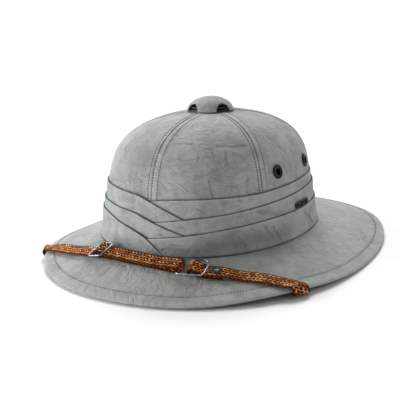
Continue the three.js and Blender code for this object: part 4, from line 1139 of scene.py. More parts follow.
def make_brim():
    angle = hat_stations(BRIM_STATIONS)
    outside = -(CROWN_WALL + GAP)
    inside = outside - COLLAR_WALL
    half = BRIM_THICKNESS / 2
    thin = BRIM_EDGE_THICKNESS / 2
    rebate = BINDING_WIDTH + SEWN_GAP
    edge = BINDING_WALL + 2 * GAP
    a = angle[:, None]
    shape = (len(angle), 1)

    def collar(height, depth):
        h = np.broadcast_to(np.array(height, float)[None, :] / CROWN_HEIGHT, (len(angle), len(height)))
        return crown_offset(a, h, np.broadcast_to(np.array(depth, float), h.shape))

    def collar_foot(depth, height):
        return with_z(crown_offset(a, np.zeros(shape), np.full(shape, depth)), height)

    crest = COLLAR_HEIGHT
    middle = (outside + inside) / 2
    up = collar([8, 16, crest - 0.6, crest], [inside, inside, inside, middle - 0.4])
    down = collar([crest, crest - 0.6, 16, 8], [middle + 0.4, outside, outside, outside])
    foot = collar_foot(outside, JUNCTION_HEIGHT)
    under = collar_foot(inside, JUNCTION_HEIGHT - BRIM_THICKNESS)
    reach = brim_reach(a)
    share = np.linspace(0, 1, BRIM_ROWS)[None, :] * (1 - rebate / reach)
    inset = (1 - share) * reach
    top = brim_point(a, share, lerp(half, thin + 0.5, smooth((rebate + 7 - inset) / 7)))
    fade = smooth(share * reach / 18) * smooth((inset - rebate) / 12)
    soft = (0.5 * noise(top, 44, 7) + 0.16 * noise(top, 15, 9) - 0.12) * fade
    top = top + brim_normal(a, share) * soft[..., None]
    lip_places = ((rebate, thin), (edge, thin), (edge, -thin), (rebate, -thin))
    lip = np.concatenate([brim_inset(a, np.full(shape, back), above) for back, above in lip_places], 1)
    below_share = share[:, ::-2]
    below = brim_point(a, below_share, -half)
    points = np.concatenate([up, down, foot, top, lip, below, under], 1)
    before = up.shape[1] + down.shape[1] + 1
    rest = ((0, 0), (before, points.shape[1] - before - share.shape[1]))
    along = np.broadcast_to(arc_lengths(rim_outline(angle))[:, None], share.shape)
    # Painted shade on the brim at its foot by the crown.
    crevice_shade = BRIM_SHADE * np.exp(-(share * reach / BRIM_SHADE_REACH) ** 2)
    attributes = {
        "across": np.pad(inset, rest),
        "along": np.pad(along, rest),
        "crevice_shade": np.pad(crevice_shade, rest),
        "wear_and_painted_highlight": np.zeros(points.shape[:2]),
    }
    brim = closed_piece("brim_cover", points, True, attributes)
    finish_piece(brim, "brim", brim_cloth)


def rounded_sections(sections, radius, steps):
    """Rounds each corner of every section by a radius that its sides allow."""
    before = np.roll(sections, 1, 1) - sections
    after = np.roll(sections, -1, 1) - sections
    size_before = np.linalg.norm(before, axis=-1, keepdims=True)
    size_after = np.linalg.norm(after, axis=-1, keepdims=True)
    reach = np.minimum(radius, 0.45 * np.minimum(size_before, size_after))
    a = sections + before / size_before * reach
    b = sections + after / size_after * reach
    shares = np.linspace(0, 1, steps + 1)[None, None, :, None]
    first = (1 - shares) ** 2 * a[:, :, None]
    middle = 2 * shares * (1 - shares) * sections[:, :, None]
    last = shares ** 2 * b[:, :, None]
    return (first + middle + last).reshape(len(sections), -1, 3)


BINDING_STATIONS = 600
BINDING_ROW_STATIONS = 1600
BINDING_CORNER_RADIUS = 1.2
BINDING_CORNER_STEPS = 3
BINDING_TOP_CORNERS = 6


def make_binding():
    angle = hat_stations(BINDING_STATIONS)
    inner = BRIM_EDGE_THICKNESS / 2 + GAP
    outer = inner + BINDING_WALL
    bottom = rim_lift(angle)
    nose = BINDING_WALL / 2

    def flat_foot(inset):
        return with_z(brim_inset(angle, inset, 0), bottom)

    control = np.stack([
        brim_inset(angle, BINDING_WIDTH, inner),
        brim_inset(angle, BINDING_WIDTH, outer - 0.85),
        brim_inset(angle, BINDING_WIDTH * 0.62, outer - 0.45),
        brim_inset(angle, nose * 3.4, outer * 0.85),
        brim_inset(angle, nose * 0.7, outer * 0.62),
        brim_inset(angle, nose * 0.1, 0),
        brim_inset(angle, nose * 3, -outer * 0.5),
        flat_foot(nose * 4.4),
        flat_foot(nose * 4.4 + BINDING_FOOT),
        brim_inset(angle, BINDING_WIDTH, -outer),
        brim_inset(angle, BINDING_WIDTH, -inner),
        brim_inset(angle, BINDING_WALL + GAP, -inner),
        brim_inset(angle, BINDING_WALL + GAP, inner),
    ], 1)
    points = rounded_sections(control, BINDING_CORNER_RADIUS, BINDING_CORNER_STEPS)
    away = np.linalg.norm((points - rim_outline(angle)[:, None])[..., :2], axis=-1)
    along = np.broadcast_to(arc_lengths(rim_outline(angle))[:, None], away.shape)
    top_side = np.zeros(away.shape)
    top_side[:, :BINDING_TOP_CORNERS * (BINDING_CORNER_STEPS + 1)] = 1
    attributes = {
        "across": away,
        "along": along,
        # Painted shade at the binding's inner edge on top.
        "crevice_shade": 0.05 * np.exp(-((away - BINDING_WIDTH) / 0.4) ** 2) * top_side,
        # Painted highlight along the rim's rounded edge.
        "wear_and_painted_highlight": np.exp(-(away / 2.2) ** 2),
    }
    binding = closed_piece("binding_cover", points, True, attributes)
    finish_piece(binding, "brim_binding", binding_cloth)


def make_binding_stitches():
    angle = np.linspace(0, 2 * np.pi, BINDING_ROW_STATIONS)
    outer = BRIM_EDGE_THICKNESS / 2 + GAP + BINDING_WALL
    p = brim_inset(angle, BINDING_STITCH_INSET, outer - BINDING_STITCH_SINK)
    n = brim_normal(angle, 1 - BINDING_STITCH_INSET / brim_reach(angle))
    row = stitch_row(p, n, STITCH_PITCH, BINDING_STITCH_LENGTH, BINDING_STITCH_RADIUS)
    stitch_piece("binding_stitches", [row], thread)


# Pleated band, its pleats numbered from the top
LOWEST_PLEAT = 2
BAND_DEGREE_LENGTH = 1.75
PLEAT_STEP = 0.5
PLEAT_LIP = 0.2
PLEAT_HIGHLIGHT_REACH = 1.1


def run_start(k):
    return RIGHT_TOPS[k][0][0]


def run_end(k):
    return LEFT_TOPS[k][-1][0]


def bottom_line(tables, k, degrees):
    if k == LOWEST_PLEAT:
        return np.full(np.shape(degrees), float(JUNCTION_HEIGHT))
    return np.maximum(top_line(tables[k + 1], degrees) - PLEAT_TUCK, JUNCTION_HEIGHT + PLEAT_THICKNESS)


def presence(tables, k, degrees, z, along):
    over = (top_line(tables[k], degrees) + PLEAT_EASE_HEIGHT - z) / PLEAT_EASE_HEIGHT
    under = (z - bottom_line(tables, k, degrees) + PLEAT_EASE_HEIGHT) / PLEAT_EASE_HEIGHT
    return smooth(over) * smooth(under) * smooth(along)


def right_presence(k, degrees, z):
    return presence(RIGHT_TOPS, k, degrees, z, (degrees - run_start(k)) / PLEAT_EASE_ANGLE + 1)


def left_presence(k, degrees, z):
    return presence(LEFT_TOPS, k, degrees, z, (run_end(k) - degrees) / PLEAT_EASE_ANGLE + 1)


def pleat_lift(k, left, degrees, z):
    """Distance of a pleat's inner face from the crown."""
    layers = float(k)
    for below in range(k):
        layers = layers + right_presence(below, degrees, z) * left_presence(below, degrees, z)
    if left:
        layers = layers + right_presence(k, degrees, z)
    return PLEAT_GAP + layers * LAYER


def pleat_painted_shade(k, left, degrees, z):
    """Painted shade along every edge that lies on this pleat, and at the lowest pleat's foot by the brim.
    """
    dark = np.zeros(np.broadcast(degrees, z).shape)
    if not left:
        over = painted_shade_under(z, top_line(LEFT_TOPS[k], degrees), 0.8) * (degrees < run_end(k))
        dark = np.maximum(dark, over)
    if k < LOWEST_PLEAT:
        right = painted_shade_under(z, top_line(RIGHT_TOPS[k + 1], degrees), 0.5) * (degrees > run_start(k + 1))
        other = painted_shade_under(z, top_line(LEFT_TOPS[k + 1], degrees), 0.55) * (degrees < run_end(k + 1))
        dark = np.maximum(dark, 0.95 * np.maximum(right, other))
    else:
        dark = np.maximum(dark, 0.8 * np.exp(-((z - JUNCTION_HEIGHT) / 0.9) ** 2))
    return dark


def pleat_sections(k, left, degrees):
    """Sections of one run: the outer face upwards, the rounded fold, and the inner face down."""
    degrees = degrees[:, None]
    a = np.radians(degrees)
    tables = LEFT_TOPS if left else RIGHT_TOPS
    top = top_line(tables[k], degrees)
    bottom = np.minimum(bottom_line(tables, k, degrees), top - PLEAT_THICKNESS)
    slope = (1 - BRIM_DISH) * brim_drop(a) / brim_reach(a)
    radius = PLEAT_THICKNESS / 2
    up = np.linspace(0, 1, 26) ** 0.9
    turn = np.linspace(0, np.pi, 7)[1:-1]
    face = bottom + (top - radius - bottom) * up
    fold = top - radius + radius * np.sin(turn)
    down = face[:, ::-2]
    z = np.concatenate([face, fold, down], 1)
    depth = np.concatenate([np.ones(face.shape[1]), 0.5 + 0.5 * np.cos(turn), np.zeros(down.shape[1])])
    share = (z - bottom) / (top - bottom)
    flare = PLEAT_FLARE * (1 - share) ** 3 if k == LOWEST_PLEAT else 0
    distance = pleat_lift(k, left, degrees, z) + depth * PLEAT_THICKNESS + flare
    fall = (PLEAT_GAP - slope * distance) * (1 - share) if k == LOWEST_PLEAT else 0
    h = (z - JUNCTION_HEIGHT) / CROWN_HEIGHT
    base = crown_point(a, h)
    lift = distance + unevenness(base) * smooth(share * (top - bottom) / 6)
    lip = PLEAT_LIP * (1 + noise(base, 19, 12 + k)) * smooth((share - 0.55) / 0.45)
    points = base + crown_normal(a, h) * (lift + lip)[..., None]
    points = with_z(points, points[..., 2] - base[..., 2] + z + fall)
    outside = np.broadcast_to(depth > 0.5, z.shape)
    along = np.broadcast_to(degrees * BAND_DEGREE_LENGTH, z.shape)
    # Painted shade where other edges lie on the pleat's outer face, and a painted highlight along its
    # folded top.
    crevice_shade = pleat_painted_shade(k, left, degrees, z) * outside
    wear_and_painted_highlight = np.exp(-((z - top) / PLEAT_HIGHLIGHT_REACH) ** 2) * outside
    return points, along, z, crevice_shade, wear_and_painted_highlight


def make_pleat(k):
    start = run_start(k)
    end = run_end(k)
    right = np.append(np.arange(start, 179.8, PLEAT_STEP), 180)
    left = np.append(np.arange(-180 + PLEAT_STEP, end - 0.2, PLEAT_STEP), end)
    runs = [pleat_sections(k, False, right), pleat_sections(k, True, left.astype(float))]
    points, along, across, crevice_shade, wear_and_painted_highlight = (np.concatenate([run[n] for run in runs]) for n in range(5))
    attributes = {"along": along, "across": across, "crevice_shade": crevice_shade, "wear_and_painted_highlight": wear_and_painted_highlight}
    pleat = closed_piece(PLEAT_NAMES[k].replace("band", "cloth"), points, False, attributes)
    finish_piece(pleat, PLEAT_NAMES[k], band_cloth)


# Vent
CAP_BASE_Z = APEX_Z - 0.1
CAP_STEPS = 26
CAP_RIM_FADE = 9


def cap_stations():
    """Angles round the cap, with the height of its lower edge at each: arches, and legs between them."""
    angles = []
    heights = []
    for i in range(CAP_ARCH_COUNT):
        middle = math.radians(CAP_TURN + (i + 0.5) * 360 / CAP_ARCH_COUNT)
        turn = np.linspace(np.pi, 0, 29)
        x = CAP_ARCH_WIDTH / 2 * np.cos(turn)
        z = CAP_ARCH_HEIGHT * np.sin(turn)
        r = CAP_RADIUS * np.sqrt(1 - (z / CAP_HEIGHT) ** 2)
        angles.append(middle + np.arcsin(x / r))
        heights.append(z)
        half = math.asin(CAP_ARCH_WIDTH / 2 / CAP_RADIUS)
        leg = np.linspace(middle + half, middle + 2 * np.pi / CAP_ARCH_COUNT - half, 16)[1:-1]
        angles.append(leg)
        heights.append(np.zeros(len(leg)))
    return np.concatenate(angles), np.concatenate(heights)


def make_cap():
    angle, low = cap_stations()
    run = np.linspace(0, 1, CAP_STEPS)[None, :]
    share = run ** 0.8

    def shell(radius, height, lift):
        start = np.arcsin(np.clip((low + lift) / height, 0, 1))[:, None]
        phi = start + (np.pi / 2 - start) * share
        r = np.maximum(radius * np.cos(phi), 0.02)
        z = height * np.sin(phi)
        return xyz(r * np.sin(angle)[:, None], APEX_Y - r * np.cos(angle)[:, None], CAP_BASE_Z + z)

    wall = CAP_WALL
    outer = shell(CAP_RADIUS, CAP_HEIGHT, 0.45)
    middle = shell(CAP_RADIUS - wall / 2, CAP_HEIGHT - wall / 2, 0.0)[:, :1]
    inner = shell(CAP_RADIUS - wall, CAP_HEIGHT - wall, 0.45)[:, ::-1]
    points = np.concatenate([middle, outer, inner], 1)
    shape = points.shape[:2]
    # Painted highlight along the cap's lower rim, fading upwards.
    rim = np.zeros(shape)
    rim[:, 0] = 1
    rim[:, 1:CAP_STEPS + 1] = np.exp(-run * CAP_RIM_FADE)
    attributes = {
        "across": points[..., 2],
        "along": np.broadcast_to(angle[:, None] * CAP_RADIUS, shape),
        "crevice_shade": np.zeros(shape),
        "wear_and_painted_highlight": rim,
    }
    cap = closed_piece("cap_cover", points, True, attributes)
    finish_piece(cap, "vent_cap", cap_cloth)


def cap_inside(radius):
    reach = CAP_RADIUS - CAP_WALL
    return CAP_BASE_Z + (CAP_HEIGHT - CAP_WALL) * math.sqrt(1 - (radius / reach) ** 2)


def make_core():
    bore = VENT_TUBE_RADIUS - VENT_TUBE_WALL
    flange_h = crown_height_at_radius(np.array([np.pi / 2]), VENT_FLANGE_RADIUS)[0]
    flange_top = JUNCTION_HEIGHT + CROWN_HEIGHT * flange_h - CROWN_WALL - GAP
    rib_start = APEX_Z + GAP
    top = cap_inside(VENT_TUBE_RADIUS) - GAP
    pitch = (top - rib_start) / (VENT_RIB_COUNT + 0.4)
    flange_base = flange_top - VENT_FLANGE_THICKNESS
    corners = [(bore, flange_base), (VENT_FLANGE_RADIUS, flange_base), (VENT_FLANGE_RADIUS, flange_top),
               (VENT_TUBE_RADIUS, flange_top), (VENT_TUBE_RADIUS, rib_start)]
    for i in range(VENT_RIB_COUNT):
        low = rib_start + pitch * i
        high = low + pitch / 2
        reach = CAP_RADIUS - CAP_WALL - 2 * GAP
        while cap_inside(reach) - GAP < high:
            reach -= 0.05
        corners += [(reach, low), (reach, high), (VENT_TUBE_RADIUS, high)]
        if i < VENT_RIB_COUNT - 1:
            corners.append((VENT_TUBE_RADIUS, low + pitch))
    corners += [(VENT_TUBE_RADIUS, top), (bore, top)]
    core = lathe_piece("vent_ribs", rounded_profile(corners, 0.35, 3), 72, (0, APEX_Y, 0))
    finish_piece(core, "vent_core", black_plastic)


# Eyelets: a rolled flange outside, a tube and a washer inside
def make_eyelet(name, place, direction):
    seat = GAP + 0.1
    top = seat + EYELET_FLANGE_THICKNESS
    under = -CROWN_WALL - EYELET_INNER_PLAY
    hole = EYELET_HOLE_RADIUS
    flange = EYELET_FLANGE_RADIUS
    base = under - EYELET_FLANGE_THICKNESS
    corners = [(hole, base), (EYELET_WASHER_RADIUS, base), (EYELET_WASHER_RADIUS, under),
               (EYELET_TUBE_RADIUS, under), (EYELET_TUBE_RADIUS, seat), (flange, seat),
               (flange, seat + 0.35), (flange - 0.9, top), (hole + 1.5, top),
               (hole + 0.9, top - 0.45), (hole + 0.2, top - 0.3), (hole, seat)]
    eyelet = lathe_piece(name + "_ring", rounded_profile(corners, 0.45, 4), 64, place, direction)
    finish_piece(eyelet, name, black_metal)


# Metal tab: a bare plate with a raised border
TAB_BORDER_WEAR = 0.6
TAB_DISH = 0.3


def make_tab():
    low = top_line(RIGHT_TOPS[2], TAB_ANGLE) + GAP + 0.2
    middle = low + TAB_HEIGHT / 2
    across = np.concatenate([[-1, -1], np.linspace(-0.96, 0.96, 21), [1, 1]])
    depth = np.concatenate([[0, 0.75], np.full(21, 1.0), [0.75, 0]])
    run = np.sin(np.linspace(-1, 1, 61) * np.pi / 2)
    sections = []
    for along in run:
        degrees = TAB_ANGLE + math.degrees(along * TAB_LENGTH / 2 / CROWN_FRONT_REACH)
        half = TAB_HEIGHT / 2 * math.sqrt(1 - 0.75 * abs(along) ** 6)
        z = middle + half * across
        inside = np.minimum(1 - np.abs(across), (1 - abs(along)) * TAB_LENGTH / TAB_HEIGHT)
        dish = TAB_DISH * smooth((inside - 0.16) / 0.1) * (depth == 1)
        end = smooth((1 - abs(along)) / 0.03)
        distance = pleat_lift(1, False, degrees, z) + PLEAT_THICKNESS + GAP
        lifted = distance + 0.15 + (TAB_THICKNESS * depth * (0.7 + 0.3 * end) - dish)
        h = (z - JUNCTION_HEIGHT) / CROWN_HEIGHT
        face = crown_offset(np.radians(degrees), h, lifted)
        back = crown_offset(np.radians(degrees), h, distance)[::-1]
        sections.append(np.concatenate([face, back[1:-1]]))
    points = np.array(sections)
    border = np.zeros(points.shape[:2])
    border[:, 1:3] = TAB_BORDER_WEAR
    border[:, len(across) - 3:len(across) - 1] = TAB_BORDER_WEAR
    tab = closed_piece("metal_plate", points, False, {"wear_and_painted_highlight": border})
    finish_piece(tab, "metal_tab", dark_plate)


# The chin strap's guide line, built as in the CAD part along the route above
def half_under(a, share):
    inset = (1 - share) * brim_reach(a)
    over_binding = 1 - smooth((inset - BINDING_WIDTH - 0.4 * STRAP_WIDTH) / (0.5 * STRAP_WIDTH))
    return lerp(BRIM_THICKNESS / 2, RIM_THICKNESS / 2, over_binding)


def edge_at(a, share):
    return unit(brim_point(a + ANGLE_STEP, share) - brim_point(a - ANGLE_STEP, share))


def top_guide(degrees, share, lift):
    a = math.radians(degrees)
    edge = edge_at(a, share) if share > 0.9 else None
    return brim_point(a, share, half_under(a, share) + lift), brim_normal(a, share), edge


def rim_guide(start, end, play):
    entries = []
    radius = RIM_THICKNESS / 2 + play
    for i in range(5):
        a = math.radians(lerp(start, end, i / 4))
        up = brim_normal(a, 0.98)
        out = brim_inset(a, 0) - brim_inset(a, 4)
        out = unit(out - up * dot(out, up))
        turn = math.pi * (0.12 + 0.76 * i / 4)
        n = up * math.cos(turn) + out * math.sin(turn)
        entries.append((brim_inset(a, 2) + n * radius, n, edge_at(a, 1)))
    return entries


def under_guide(start, side):
    extra = STRAP_UNDER_GAP - GAP
    entries = []
    for share, turn in zip(STRAP_UNDER_SHARES, STRAP_UNDER_TURN):
        a = math.radians(start + side * turn)
        fall = half_under(a, share) + extra
        entries.append((brim_point(a, share, -fall), -brim_normal(a, share), edge_at(a, share)))
    a = math.radians(start + side * STRAP_ANCHOR_TURN)
    depth = CROWN_WALL + GAP + COLLAR_WALL
    inward = -unit(crown_normal(a, 0.0) * np.array([1, 1, 0]))
    corner = with_z(crown_offset(a, 0.0, -depth), JUNCTION_HEIGHT - BRIM_THICKNESS)
    edge = edge_at(a, 0)
    for turn in np.radians([20, 55, 85]):
        n = inward * math.sin(turn) + np.array([0, 0, -math.cos(turn)])
        entries.append((corner + n * (STRAP_WALL_GAP - GAP + STRAP_CORNER_PLAY), n, edge))
    end = ANCHOR_HEIGHT + STRAP_TAIL
    for height in (0.15 * end, 0.6 * end, end):
        h = height / CROWN_HEIGHT
        entries.append((crown_offset(a, h, -depth - STRAP_WALL_GAP + GAP), -crown_normal(a, h), edge))
    return entries


def centripetal(points, position):
    """Point of a smooth curve through points, at a position counted in points."""
    last = len(points) - 1
    i = min(int(position), last - 1)
    x = position - i
    p1 = points[i]
    p2 = points[i + 1]
    p0 = points[i - 1] if i > 0 else 2 * points[0] - points[1]
    p3 = points[i + 2] if i + 2 <= last else 2 * points[last] - points[last - 1]
    d0, d1, d2 = (np.linalg.norm(b - a) ** 0.5 for a, b in ((p0, p1), (p1, p2), (p2, p3)))
    t1 = ((p1 - p0) / d0 - (p2 - p0) / (d0 + d1) + (p2 - p1) / d1) * d1
    t2 = ((p2 - p1) / d1 - (p3 - p1) / (d1 + d2) + (p3 - p2) / d2) * d1
    return p1 + x * (t1 + x * (-3 * p1 + 3 * p2 - 2 * t1 - t2 + x * (2 * p1 - 2 * p2 + t1 + t2)))


class Guide:
    """The line under the strap, with the direction away from the hat and the one across the strap."""
    FINENESS = 24

    def __init__(self):
        left_under = under_guide(STRAP_RIM_LEFT[1], -1)[::-1]
        left_rim = rim_guide(*STRAP_RIM_LEFT, STRAP_LEFT_PLAY)[::-1]
        top = [top_guide(*entry) for entry in STRAP_ROUTE_TOP]
        right = rim_guide(*STRAP_RIM_RIGHT, STRAP_RIGHT_PLAY) + under_guide(STRAP_RIM_RIGHT[1], 1)
        entries = left_under + left_rim + top + right
        nodes = np.array([e[0] for e in entries])
        self.normals = np.array([e[1] for e in entries])
        last = len(entries) - 1
        places = np.arange(last * self.FINENESS + 1) / self.FINENESS
        self.points = np.array([centripetal(nodes, place) for place in places])
        self.lengths = arc_lengths(self.points)
        self.length = self.lengths[-1]
        self.sides = []
        for i, (_, n, edge) in enumerate(entries):
            step = 0.0001 * last
            t = unit(centripetal(nodes, min(i + step, last)) - centripetal(nodes, max(i - step, 0)))
            square = unit(np.cross(n, t))
            if edge is None:
                self.sides.append(square)
                continue
            slant = math.sqrt(max(1 - float(edge @ t) ** 2, 0))
            self.sides.append(edge * np.sign(edge @ square) / max(slant, STRAP_SLANT_LIMIT))
        self.sides = np.array(self.sides)
        before = len(left_under) + len(left_rim)
        self.top_start = self.lengths[before * self.FINENESS]
        self.top_end = self.lengths[(before + len(top) - 1) * self.FINENESS]

    def at(self, s):
        """Point, tangent, normal and side at distances along the guide."""
        s = np.clip(s, 0, self.length - 1e-6)
        i = np.clip(np.searchsorted(self.lengths, s, side="right") - 1, 0, len(self.points) - 2)
        x = ((s - self.lengths[i]) / (self.lengths[i + 1] - self.lengths[i]))[..., None]
        p = lerp(self.points[i], self.points[i + 1], x)
        t = unit(self.points[i + 1] - self.points[i])
        entry = np.minimum(((i + x[..., 0]) / self.FINENESS).astype(int), len(self.normals) - 2)
        share = ((i + x[..., 0]) / self.FINENESS - entry)[..., None]
        n = lerp(self.normals[entry], self.normals[entry + 1], share)
        n = unit(n - t * dot(n, t))
        return p, t, n, lerp(self.sides[entry], self.sides[entry + 1], share)


guide = Guide()
LOW = GAP + STRAP_THICKNESS / 2
STACK = STRAP_THICKNESS + GAP
HIGH = LOW + STACK
CLASP = WIRE_RADIUS + GAP + FOLD_PLAY + STRAP_THICKNESS / 2
RIVETED = RIVET_PLAY + RIVET_FOOT_HEIGHT + RIVET_PLAY + STRAP_THICKNESS / 2
RIVETED_HIGH = RIVETED + STRAP_THICKNESS + RIVET_PLAY


class WireFrame:
    """Place of a wire frame on the strap: its middle, directions and half sizes."""

    def __init__(self, middle, length, heights):
        self.s = middle
        self.half_run = length / 2 - WIRE_RADIUS
        ends = []
        for s, height in zip((middle - self.half_run, middle + self.half_run), heights):
            p, _, n, _ = guide.at(np.array(s))
            ends.append(p + n * height)
        self.centre = (ends[0] + ends[1]) / 2
        self.along = unit(ends[1] - ends[0])
        p, t, n, side = guide.at(np.array(middle))
        self.side = unit(side - self.along * dot(side, self.along))
        self.up = unit(np.cross(self.along, self.side))
        self.half_width = STRAP_WIDTH / 2 + FRAME_SIDE_PLAY + WIRE_RADIUS
        self.bar_height = float((self.centre - p) @ n)
        self.bar_shift = float((self.centre - p) @ t)


top_length = guide.top_end - guide.top_start
slide = WireFrame(guide.top_start + STRAP_SHARE_SLIDE * top_length, SLIDE_LENGTH,
                  (LOW + CLASP, HIGH + CLASP))
buckle = WireFrame(guide.top_start + STRAP_SHARE_BUCKLE * top_length, BUCKLE_LENGTH,
                   (LOW + CLASP, RIVETED_HIGH + CLASP))
RIVET_S = buckle.s + buckle.half_run + RIVET_DISTANCE


def belt_path(stops):
    """A flat path over and under round bars, as distances along the guide and heights over it."""
    stops = np.array(stops, float)
    step = np.diff(stops, axis=0)
    length = np.hypot(step[:, 0], step[:, 1])
    heading = np.arctan2(step[:, 1], step[:, 0]) + np.arcsin(step[:, 2] / length)
    normals = heading + np.pi / 2
    path = []
    for i, (s, h, r) in enumerate(stops):
        arrive = normals[max(i - 1, 0)]
        leave = normals[min(i, len(normals) - 1)]
        turn = (leave - arrive) % (2 * np.pi)
        if r > 0 and turn > 0:
            turn -= 2 * np.pi
        if abs(turn) > 1.9 * np.pi or r == 0:
            turn = 0
        steps = max(1, math.ceil(abs(turn) / math.radians(5))) if turn else 0
        for k in range(steps + 1):
            n = arrive + (turn * k / steps if steps else 0)
            path.append((s + r * math.cos(n), h + r * math.sin(n)))
    return np.array(path)


def even_steps(path, step):
    """The path again, as points about one step apart."""
    s = arc_lengths(path)
    keep = np.append(True, np.diff(s) > 1e-9)
    s = s[keep]
    path = path[keep]
    at = np.linspace(0, s[-1], int(s[-1] / step) + 1)
    return np.stack([np.interp(at, s, path[:, n]) for n in range(path.shape[1])], -1)


def eased(values, span):
    """Moving average that keeps both ends."""
    kernel = np.hanning(2 * span + 3)[1:-1]
    kernel /= kernel.sum()
    lead = 2 * values[:1] - values[span:0:-1]
    tail = 2 * values[-1:] - values[-2:-span - 2:-1]
    padded = np.concatenate([lead, values, tail])
    return np.stack([np.convolve(padded[:, n], kernel, "valid") for n in range(values.shape[1])], -1)


# Flat braid: strands slant one way in every other column and the other way in between
BRAID_ANGLE = math.radians(40)
STRAND_WIDTH = 2.1
BRAID_RELIEF = 0.65
BRAID_SEED = 4
BRAID_STEP = 0.42
BRAID_BEND = 1.3


def braid(along, across):
    """Height of the braid's surface from 0 to 1, and a number for each strand."""
    rise = along * math.sin(BRAID_ANGLE)
    shift = across * math.cos(BRAID_ANGLE)
    column = shift / STRAND_WIDTH
    column_number = np.floor(column).astype(np.int64)
    first = column_number % 2 == 0
    lean = np.where(first, (shift - rise) / STRAND_WIDTH, (rise + shift) / STRAND_WIDTH)
    lean_number = np.floor(lean).astype(np.int64)
    hump = np.sin(np.pi * (lean - np.floor(lean)))
    span = np.sin(np.pi * (column - np.floor(column)))
    number = lattice(lean_number, first.astype(np.int64), column_number, BRAID_SEED)
    height = hump ** 0.6 * (0.3 + 0.7 * span ** 0.7)
    return height * (0.9 + 0.1 * number), 0.5 + 0.5 * number


def strap_section():
    """Places round the strap's section as (share of the half width, share of the half thickness)."""
    corner = STRAP_THICKNESS / 2
    flat = SHOWN_STRAP_WIDTH / 2 - corner
    top = np.linspace(-flat, flat, 37)
    turn = np.linspace(np.pi / 2, -np.pi / 2, 8)[1:-1]
    under = np.linspace(flat, -flat, 19)
    end = flat + corner * np.cos(turn)
    across = np.concatenate([top, end, under, -end])
    thick = np.concatenate([np.ones(len(top)), np.sin(turn), -np.ones(len(under)), -np.sin(turn)])
    return across, thick


def make_strap(name, node, stops):
    path = eased(even_steps(belt_path(stops), BRAID_STEP), int(BRAID_BEND / BRAID_STEP))
    p, _, n, side = guide.at(path[:, 0])
    for frame_place in (slide, buckle):
        share = smooth(1 - (np.abs(path[:, 0] - frame_place.s) - frame_place.half_run) / STRAP_WIDTH)
        side = lerp(side, frame_place.side, share[:, None])
    centre = p + n * path[:, 1:]
    heading = unit(np.gradient(centre, axis=0))
    up = unit(np.cross(heading, side))
    along = arc_lengths(centre)
    across, thick = strap_section()
    half = STRAP_THICKNESS / 2
    lengthways = along[:, None] * np.ones(len(across))
    relief, strand = braid(lengthways, np.where(thick >= 0, across, -across)[None, :])
    edge = np.abs(across) / (SHOWN_STRAP_WIDTH / 2)
    depth = np.abs(thick)[None, :]
    body = depth * (half - 0.25 * edge ** 3) - BRAID_RELIEF * (1 - relief) * depth
    wave = np.abs(np.sin(np.pi * along * math.sin(BRAID_ANGLE) / STRAND_WIDTH))[:, None]
    waist = 1 - 0.03 * (1 - wave) * edge ** 6
    points = (centre[:, None] + side[:, None] * (across[None, :] * waist)[..., None]
              + up[:, None] * (np.sign(thick)[None, :] * body)[..., None])
    border = np.maximum(smooth((edge - 0.82) / 0.1), np.abs(thick) < 0.99)
    attributes = {"relief": relief, "strand": strand, "edge": np.broadcast_to(border, relief.shape)}
    strap = closed_piece(name, points, False, attributes)
    finish_piece(strap, node, leather)


# Lengths over which the strap eases from one height to the next, and by which its tail is short
SLIDE_EASE = 6
FOLD_EASE = 18
RIVET_EASE = 4
TAIL_EASE = 12
TAIL_TRIM = 1
WIRE_STEP = 0.8


def make_straps():
    slide_near = slide.s - slide.half_run
    slide_far = slide.s + slide.half_run
    buckle_near = buckle.s - buckle.half_run
    buckle_far = buckle.s + buckle.half_run
    make_strap("braid_long", "strap_long", [
        (0, LOW, 0),
        (slide_near - SLIDE_EASE, LOW, 0),
        (slide_near, LOW + CLASP, -CLASP),
        (slide.s + slide.bar_shift, slide.bar_height, CLASP),
        (slide_far, HIGH + CLASP, -CLASP),
        (slide_far + SLIDE_EASE, HIGH, 0),
        (buckle_near - FOLD_EASE, HIGH, 0),
        (buckle_near, LOW + CLASP, CLASP),
        (buckle_near - FOLD_EASE, LOW, 0),
        (slide.s, LOW, 0),
    ])
    make_strap("braid_short", "strap_short", [
        (guide.length, LOW, 0),
        (RIVET_S + STRAP_TAIL + TAIL_EASE, LOW, 0),
        (RIVET_S + RIVET_EASE, RIVETED_HIGH, 0),
        (buckle_far, RIVETED_HIGH, 0),
        (buckle.s + buckle.bar_shift, buckle.bar_height, -CLASP),
        (RIVET_S - RIVET_EASE, RIVETED, 0),
        (RIVET_S + STRAP_TAIL - TAIL_TRIM, RIVETED, 0),
    ])


